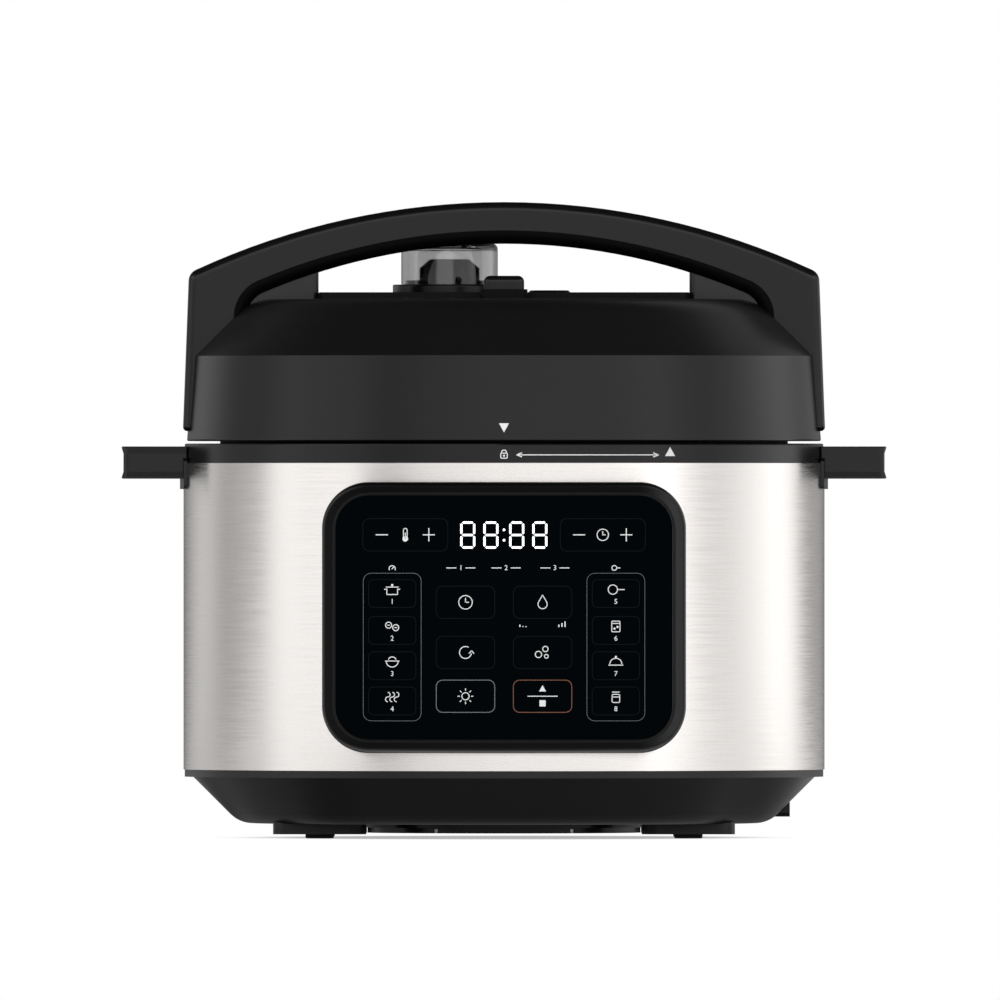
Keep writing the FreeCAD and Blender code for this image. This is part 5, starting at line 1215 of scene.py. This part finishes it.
@dataclass
class DeckJoints(SubAssembly):
    """Rubber strips that close the joints between the lid's deck and the two towers of its handle."""

    depth: float = 26.0 * MM  # from front to back
    height: float = 3.2 * MM
    play: float = 0.01 * MM  # left free at each side of a strip
    edge: float = 0.05 * MM
    edge_steps: int = 2

    def build(self) -> list[Piece]:
        """Sets one strip at each end of the deck.

        Returns:
            The two strips.
        """
        low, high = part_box("lid_deck")
        left_tower, right_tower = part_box("handle_tower_left"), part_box("handle_tower_right")
        return [self.strip("deck_joint_left", left_tower[1][0], low[0], low[2]),
                self.strip("deck_joint_right", high[0], right_tower[0][0], low[2])]

    def strip(self, name: str, start: float, end: float, foot: float) -> Piece:
        """Makes one strip, a block with softened edges.

        Args:
            name: Name of the piece.
            start: Left side of the joint.
            end: Right side of the joint.
            foot: Height at which the strip stands.

        Returns:
            The strip.
        """
        bpy.ops.object.select_all(action="DESELECT")
        bpy.ops.mesh.primitive_cube_add(size=1.0, location=((start + end) / 2, 0.0, foot + self.height / 2),
                                        scale=(end - start - self.play * 2, self.depth, self.height))
        piece = bpy.context.object
        piece.name = name
        bpy.ops.object.transform_apply(location=True, rotation=True, scale=True)
        bpy.ops.object.mode_set(mode="EDIT")
        bpy.ops.mesh.select_all(action="SELECT")
        bpy.ops.mesh.bevel(offset=self.edge, segments=self.edge_steps, affect="EDGES")
        bpy.ops.object.mode_set(mode="OBJECT")
        dress(piece, FINISHES["foot_rubber"].material(), "lid")
        return piece


@dataclass
class WoundSpring(SubAssembly):
    """Wound wire spring that stands for its node."""

    node: str
    joint: str
    middle: tuple[float, float]
    radius: float  # of the winding, to the middle of the wire
    wire: float  # radius of the wire
    turns: int
    keep: float  # share of its height that is left when the joint is pressed home
    ring_corners: int = 10
    turn_steps: int = 32

    def build(self) -> list[Piece]:
        """Winds a ring of wire round the axis, closes its ends and puts the spring in the node's place.

        Returns:
            The spring.
        """
        low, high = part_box(self.node)
        bpy.ops.object.select_all(action="DESELECT")
        bpy.ops.mesh.primitive_circle_add(vertices=self.ring_corners, radius=self.wire,
                                          location=(self.radius, 0.0, low[2] + self.wire),
                                          rotation=(math.pi / 2, 0.0, 0.0))
        piece = bpy.context.object
        piece.name = f"{self.node}_wound"
        bpy.ops.object.transform_apply(location=True, rotation=True, scale=True)
        winding = piece.modifiers.new("winding", "SCREW")
        winding.iterations = self.turns
        winding.screw_offset = (high[2] - low[2] - self.wire * 2) / self.turns
        winding.steps = winding.render_steps = self.turn_steps
        bpy.ops.object.modifier_apply(modifier=winding.name)
        bpy.ops.object.mode_set(mode="EDIT")
        bpy.ops.mesh.select_all(action="SELECT")
        bpy.ops.mesh.fill_holes(sides=self.ring_corners)
        bpy.ops.mesh.normals_make_consistent(inside=False)
        bpy.ops.object.mode_set(mode="OBJECT")
        piece.location = (*self.middle, 0.0)
        bpy.ops.object.transform_apply(location=True, rotation=True, scale=True)
        self.fit(piece, (*self.middle, low[2]))
        return [piece]

    def fit(self, piece: Piece, foot: Place) -> None:
        """Gives the spring its finish and its body, and hides the node.

        Args:
            piece: The wound spring.
            foot: Middle of the end that stays where it is. Not used.
        """
        node = frame["nodes"][self.node]
        dress(piece, node.data.materials[0], node["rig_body"])
        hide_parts(self.node)
        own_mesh(piece)


SPRINGS = (
    WoundSpring("sensor_spring", "sensor_press", middle=(0.0, 0.0), radius=5.2 * MM, wire=0.6 * MM, turns=5,
                keep=0.8),
    WoundSpring("button_spring", "button_press", middle=(0.0, -31.0 * MM), radius=4.0 * MM, wire=0.5 * MM,
                turns=3, keep=0.4),
)


# Studio


@dataclass
class SoftBox:
    """One soft lamp that looks at the cooker."""

    name: str
    azimuth: float  # degrees from the front, to the right
    elevation: float
    distance: float
    size: tuple[float, float]
    power: float
    aim: Place = (0.0, 0.0, 150 * MM)
    lights: str = ""  # the one node that it lights and shows in; without it all are lit and none shows it

    def build(self) -> Piece:
        """Adds the lamp and turns it to its aim.

        Returns:
            The lamp.
        """
        aim = Vector(self.aim)
        turn, rise = math.radians(self.azimuth), math.radians(self.elevation)
        toward = Vector((math.sin(turn) * math.cos(rise), -math.cos(turn) * math.cos(rise), math.sin(rise)))
        bpy.ops.object.light_add(type="AREA", location=aim + toward * self.distance)
        lamp = bpy.context.object
        lamp.name = self.name
        lamp.rotation_euler = toward.to_track_quat("Z", "Y").to_euler()
        lamp.data.shape = "RECTANGLE"
        lamp.data.size, lamp.data.size_y = self.size
        lamp.data.energy = self.power
        lamp.visible_camera = False
        lamp.visible_glossy = bool(self.lights)
        if self.lights:
            shown = bpy.data.collections.new(f"{self.name}_shown")
            shown.objects.link(frame["nodes"][self.lights])
            lamp.light_linking.receiver_collection = shown
        return lamp


@dataclass
class Studio(SubAssembly):
    """White floor and backdrop, soft light and a far camera that looks level at the front."""

    scale: float = 0.4836 * MM  # one pixel of the picture at the cooker
    picture: int = 1000
    axis_pixel: float = 504.0
    ground_pixel: float = 837.5
    distance: float = 22.0
    sight: float = 66.0  # how far the camera sees
    sensor: float = 36.0
    floor_size: float = 90.0
    floor_colour: str = "#f4f4f3"
    # the shadow on the floor as it is seen and as gloss shows it: where it starts and ends to fade, from the
    # middle outwards, and how light the floor is inside that; as it is seen the shadow is cast, in gloss it
    # is a painted shadow in the floor's glow
    shadow_seen: tuple[float, float] = (0.09, 0.15)
    shadow_lift: float = 0.45
    shadow_mirrored: tuple[float, float] = (0.14, 0.3)
    shadow_depth: float = 0.2
    fill: float = 0.55  # level of the backdrop as light on matt surfaces
    # how bright the backdrop is in gloss: by height as the sine of the angle, in front of the cooker and
    # behind it, and by degrees round from the front
    by_height: Stops = (
        (0.0, 1.0), (0.12, 1.0), (0.26, 1.2), (0.38, 2.2), (0.48, 1.6), (0.6, 0.25), (0.72, 0.04),
        (1.0, 0.03))
    by_height_behind: Stops = (
        (0.0, 1.0), (0.15, 1.0), (0.35, 0.4), (0.55, 0.15), (0.75, 0.04), (1.0, 0.03))
    turnover: float = 0.3  # how far, to the front and to the back, one goes over into the other
    by_turn: Stops = (
        (-180, 0.1), (-165, 0.22), (-155, 0.36), (-141, 0.6), (-130, 0.6), (-120, 0.4), (-112, 0.44),
        (-105, 0.52), (-98, 0.54), (-92, 0.9), (-86, 1.12), (-80, 1.06), (-74, 0.95), (-54, 0.98), (-47, 0.6),
        (-39, 0.58), (-32, 0.76), (-20, 0.85), (0, 0.94), (40, 1.0), (50, 1.1), (58, 1.4), (65, 1.05),
        (76, 0.78), (86, 0.83), (100, 1.1), (114, 1.35), (126, 1.1), (134, 0.58), (142, 0.4), (155, 0.36),
        (180, 0.1))
    lamps: tuple[SoftBox, ...] = (
        SoftBox("front_softbox", azimuth=-12.0, elevation=18.0, distance=2.5, size=(2.0, 1.5), power=26.0),
        SoftBox("overhead_softbox", azimuth=0.0, elevation=80.0, distance=2.2, size=(1.8, 1.8), power=2.5),
        # two strips that the panel's frame shows in its gloss: along its right border and its lower edge
        SoftBox("right_strip", azimuth=48.0, elevation=0.0, distance=1.5, size=(0.2, 0.3), power=1.25,
                aim=(0.0, -142 * MM, 100 * MM), lights="panel_bezel"),
        SoftBox("floor_strip", azimuth=0.0, elevation=-90.0, distance=95 * MM, size=(0.3, 0.22), power=0.34,
                aim=(0.0, -250 * MM, 100 * MM), lights="panel_bezel"),
        # a wide one behind on the right, for the sheen on that end of the dome
        SoftBox("dome_softbox", azimuth=135.0, elevation=30.0, distance=1.5, size=(1.6, 0.8), power=0.9,
                aim=(0.0, 0.0, 240 * MM), lights="lid_cover"),
    )

    def build(self) -> list[Piece]:
        """Sets up floor, backdrop, lamps and camera.

        Returns:
            The floor, the lamps and the camera.
        """
        bpy.context.scene.view_settings.view_transform = "Standard"
        floor = self.lay_floor()
        self.hang_backdrop()
        return [floor, *(lamp.build() for lamp in self.lamps), self.place_camera()]

    def lay_floor(self) -> Piece:
        """Lays the floor, which can be seen through from below.

        Returns:
            The floor.
        """
        bpy.ops.mesh.primitive_plane_add(size=self.floor_size)
        floor = bpy.context.object
        floor.name = "studio_floor"
        made = bpy.data.materials.new("studio_floor_paper")
        made.use_nodes = True
        tree = made.node_tree
        tree.nodes.clear()
        under = add_node(tree, "ShaderNodeNewGeometry").outputs["Backfacing"]
        gone = add_node(tree, "ShaderNodeBsdfTransparent")
        sided = add_node(tree, "ShaderNodeMixShader", {0: under, 1: self.paper(tree), 2: gone})
        add_node(tree, "ShaderNodeOutputMaterial", {"Surface": sided})
        floor.data.materials.append(made)
        return floor

    def paper(self, tree: Tree) -> Node:
        """Makes the floor's paper: it takes the shadow near the cooker and turns to plain white further out;
        in gloss it only glows, with a painted shadow near the cooker.

        Args:
            tree: The floor's nodes.

        Returns:
            The shader of the paper.
        """
        place = add_node(tree, "ShaderNodeTexCoord").outputs["Object"]
        reach = add_node(tree, "ShaderNodeVectorMath", {0: place}, operation="LENGTH").outputs["Value"]
        seen, mirrored = (
            add_node(tree, "ShaderNodeMapRange", {
                "Value": reach, "From Min": near, "From Max": far, "To Min": least},
                interpolation_type="SMOOTHSTEP")
            for (near, far), least in ((self.shadow_seen, self.shadow_lift),
                                       (self.shadow_mirrored, self.shadow_depth)))
        split = add_node(tree, "ShaderNodeSeparateXYZ", {"Vector": place})
        path = add_node(tree, "ShaderNodeLightPath")
        straight, glossy = path.outputs["Is Camera Ray"], path.outputs["Is Glossy Ray"]
        # in gloss the floor is all glow, and a painted shadow dims it near the cooker
        gloss = add_node(tree, "ShaderNodeMath", {0: mirrored, 1: self.level_around(tree, split)},
                         operation="MULTIPLY")
        level = add_node(tree, "ShaderNodeMix", {"Factor": straight, "A": gloss, "B": 1.0}, data_type="FLOAT")
        outer = add_node(tree, "ShaderNodeMath", {0: seen, 1: straight}, operation="MULTIPLY")
        share = add_node(tree, "ShaderNodeMath", {0: outer, 1: glossy}, operation="MAXIMUM")
        sheet = add_node(tree, "ShaderNodeBsdfDiffuse", {"Color": linear(self.floor_colour)})
        plain = add_node(tree, "ShaderNodeEmission", {"Color": WHITE, "Strength": level})
        return add_node(tree, "ShaderNodeMixShader", {0: share, 1: sheet, 2: plain})

    def hang_backdrop(self) -> None:
        """Makes the world: white where it is seen, darker overhead and behind in gloss, grey as fill."""
        world = bpy.data.worlds.new("studio_backdrop")
        world.use_nodes = True
        bpy.context.scene.world = world
        tree = world.node_tree
        tree.nodes.clear()
        path = add_node(tree, "ShaderNodeLightPath")
        glossy, sent_through = path.outputs["Is Glossy Ray"], path.outputs["Is Transmission Ray"]
        bent = add_node(tree, "ShaderNodeMath", {0: glossy, 1: sent_through}, operation="MAXIMUM")
        soft = add_node(tree, "ShaderNodeMix", {"Factor": bent, "A": self.fill, "B": self.mirrored(tree)},
                        data_type="FLOAT")
        # what is seen straight on, or through clear plastic with no other turn on the way, is plain white
        turns = add_node(tree, "ShaderNodeMath", {
            0: path.outputs["Glossy Depth"], 1: path.outputs["Diffuse Depth"]}, operation="ADD")
        unturned = add_node(tree, "ShaderNodeMath", {0: turns, 1: 0.5}, operation="LESS_THAN")
        through = add_node(tree, "ShaderNodeMath", {0: unturned, 1: sent_through}, operation="MULTIPLY")
        clear = add_node(tree, "ShaderNodeMath", {0: path.outputs["Is Camera Ray"], 1: through},
                         operation="MAXIMUM")
        level = add_node(tree, "ShaderNodeMix", {"Factor": clear, "A": soft, "B": 1.0}, data_type="FLOAT")
        back = add_node(tree, "ShaderNodeBackground", {"Color": WHITE, "Strength": level})
        add_node(tree, "ShaderNodeOutputWorld", {"Surface": back})

    def mirrored(self, tree: Tree) -> Node:
        """Grades the backdrop as gloss shows it, by its height and by its turn from the front.

        Args:
            tree: The backdrop's nodes.

        Returns:
            The node that gives its level.
        """
        way = add_node(tree, "ShaderNodeTexCoord").outputs["Generated"]
        split = add_node(tree, "ShaderNodeSeparateXYZ", {"Vector": way})
        behind = add_node(tree, "ShaderNodeMapRange", {
            "Value": split.outputs["Y"], "From Min": -self.turnover, "From Max": self.turnover})
        ahead, back = (add_node(tree, "ShaderNodeValToRGB", {"Fac": split.outputs["Z"]}, stops=stops)
                       for stops in (self.by_height, self.by_height_behind))
        high = add_node(tree, "ShaderNodeMix", {"Factor": behind, "A": ahead, "B": back}, data_type="FLOAT")
        return add_node(tree, "ShaderNodeMath", {0: high, 1: self.level_around(tree, split)},
                        operation="MULTIPLY")

    def level_around(self, tree: Tree, split: Node) -> Node:
        """Grades a place or direction by its turn from the front.

        Args:
            tree: The nodes of the floor or the backdrop.
            split: The node that gives the place or direction as X, Y and Z.

        Returns:
            The node that gives the level on that side of the cooker.
        """
        ahead = add_node(tree, "ShaderNodeMath", {0: split.outputs["Y"], 1: -1.0}, operation="MULTIPLY")
        turn = add_node(tree, "ShaderNodeMath", {0: split.outputs["X"], 1: ahead}, operation="ARCTAN2")
        share = add_node(tree, "ShaderNodeMapRange", {
            "Value": turn, "From Min": -math.pi, "From Max": math.pi})
        stops = tuple((angle / 360 + 0.5, level) for angle, level in self.by_turn)
        return add_node(tree, "ShaderNodeValToRGB", {"Fac": share}, stops=stops)

    def place_camera(self) -> Piece:
        """Puts the camera far in front, level, with the picture's middle where the photograph has it.

        Returns:
            The camera.
        """
        middle = self.picture / 2
        x = (middle - self.axis_pixel) * self.scale
        z = (self.ground_pixel - middle) * self.scale
        bpy.ops.object.camera_add(location=(x, -self.distance, z), rotation=(math.pi / 2, 0.0, 0.0))
        camera = bpy.context.object
        camera.name = "front_camera"
        camera.data.sensor_width = self.sensor
        camera.data.lens = self.sensor * self.distance / (self.picture * self.scale)
        camera.data.clip_end = self.sight
        bpy.context.scene.camera = camera
        return camera


def main() -> None:
    """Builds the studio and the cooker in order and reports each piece."""
    logging.basicConfig(level=logging.INFO, format="%(name)s: %(message)s")
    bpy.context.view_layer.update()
    bpy.ops.object.select_all(action="DESELECT")
    for group in (Studio(), Cooker(), PanelPrint(), Display(), LidMarks(), DeckJoints(), *SPRINGS):
        for piece in group.build():
            log.info("%s made %s", type(group).__name__, piece.name)


if __name__ == "__main__":
    main()
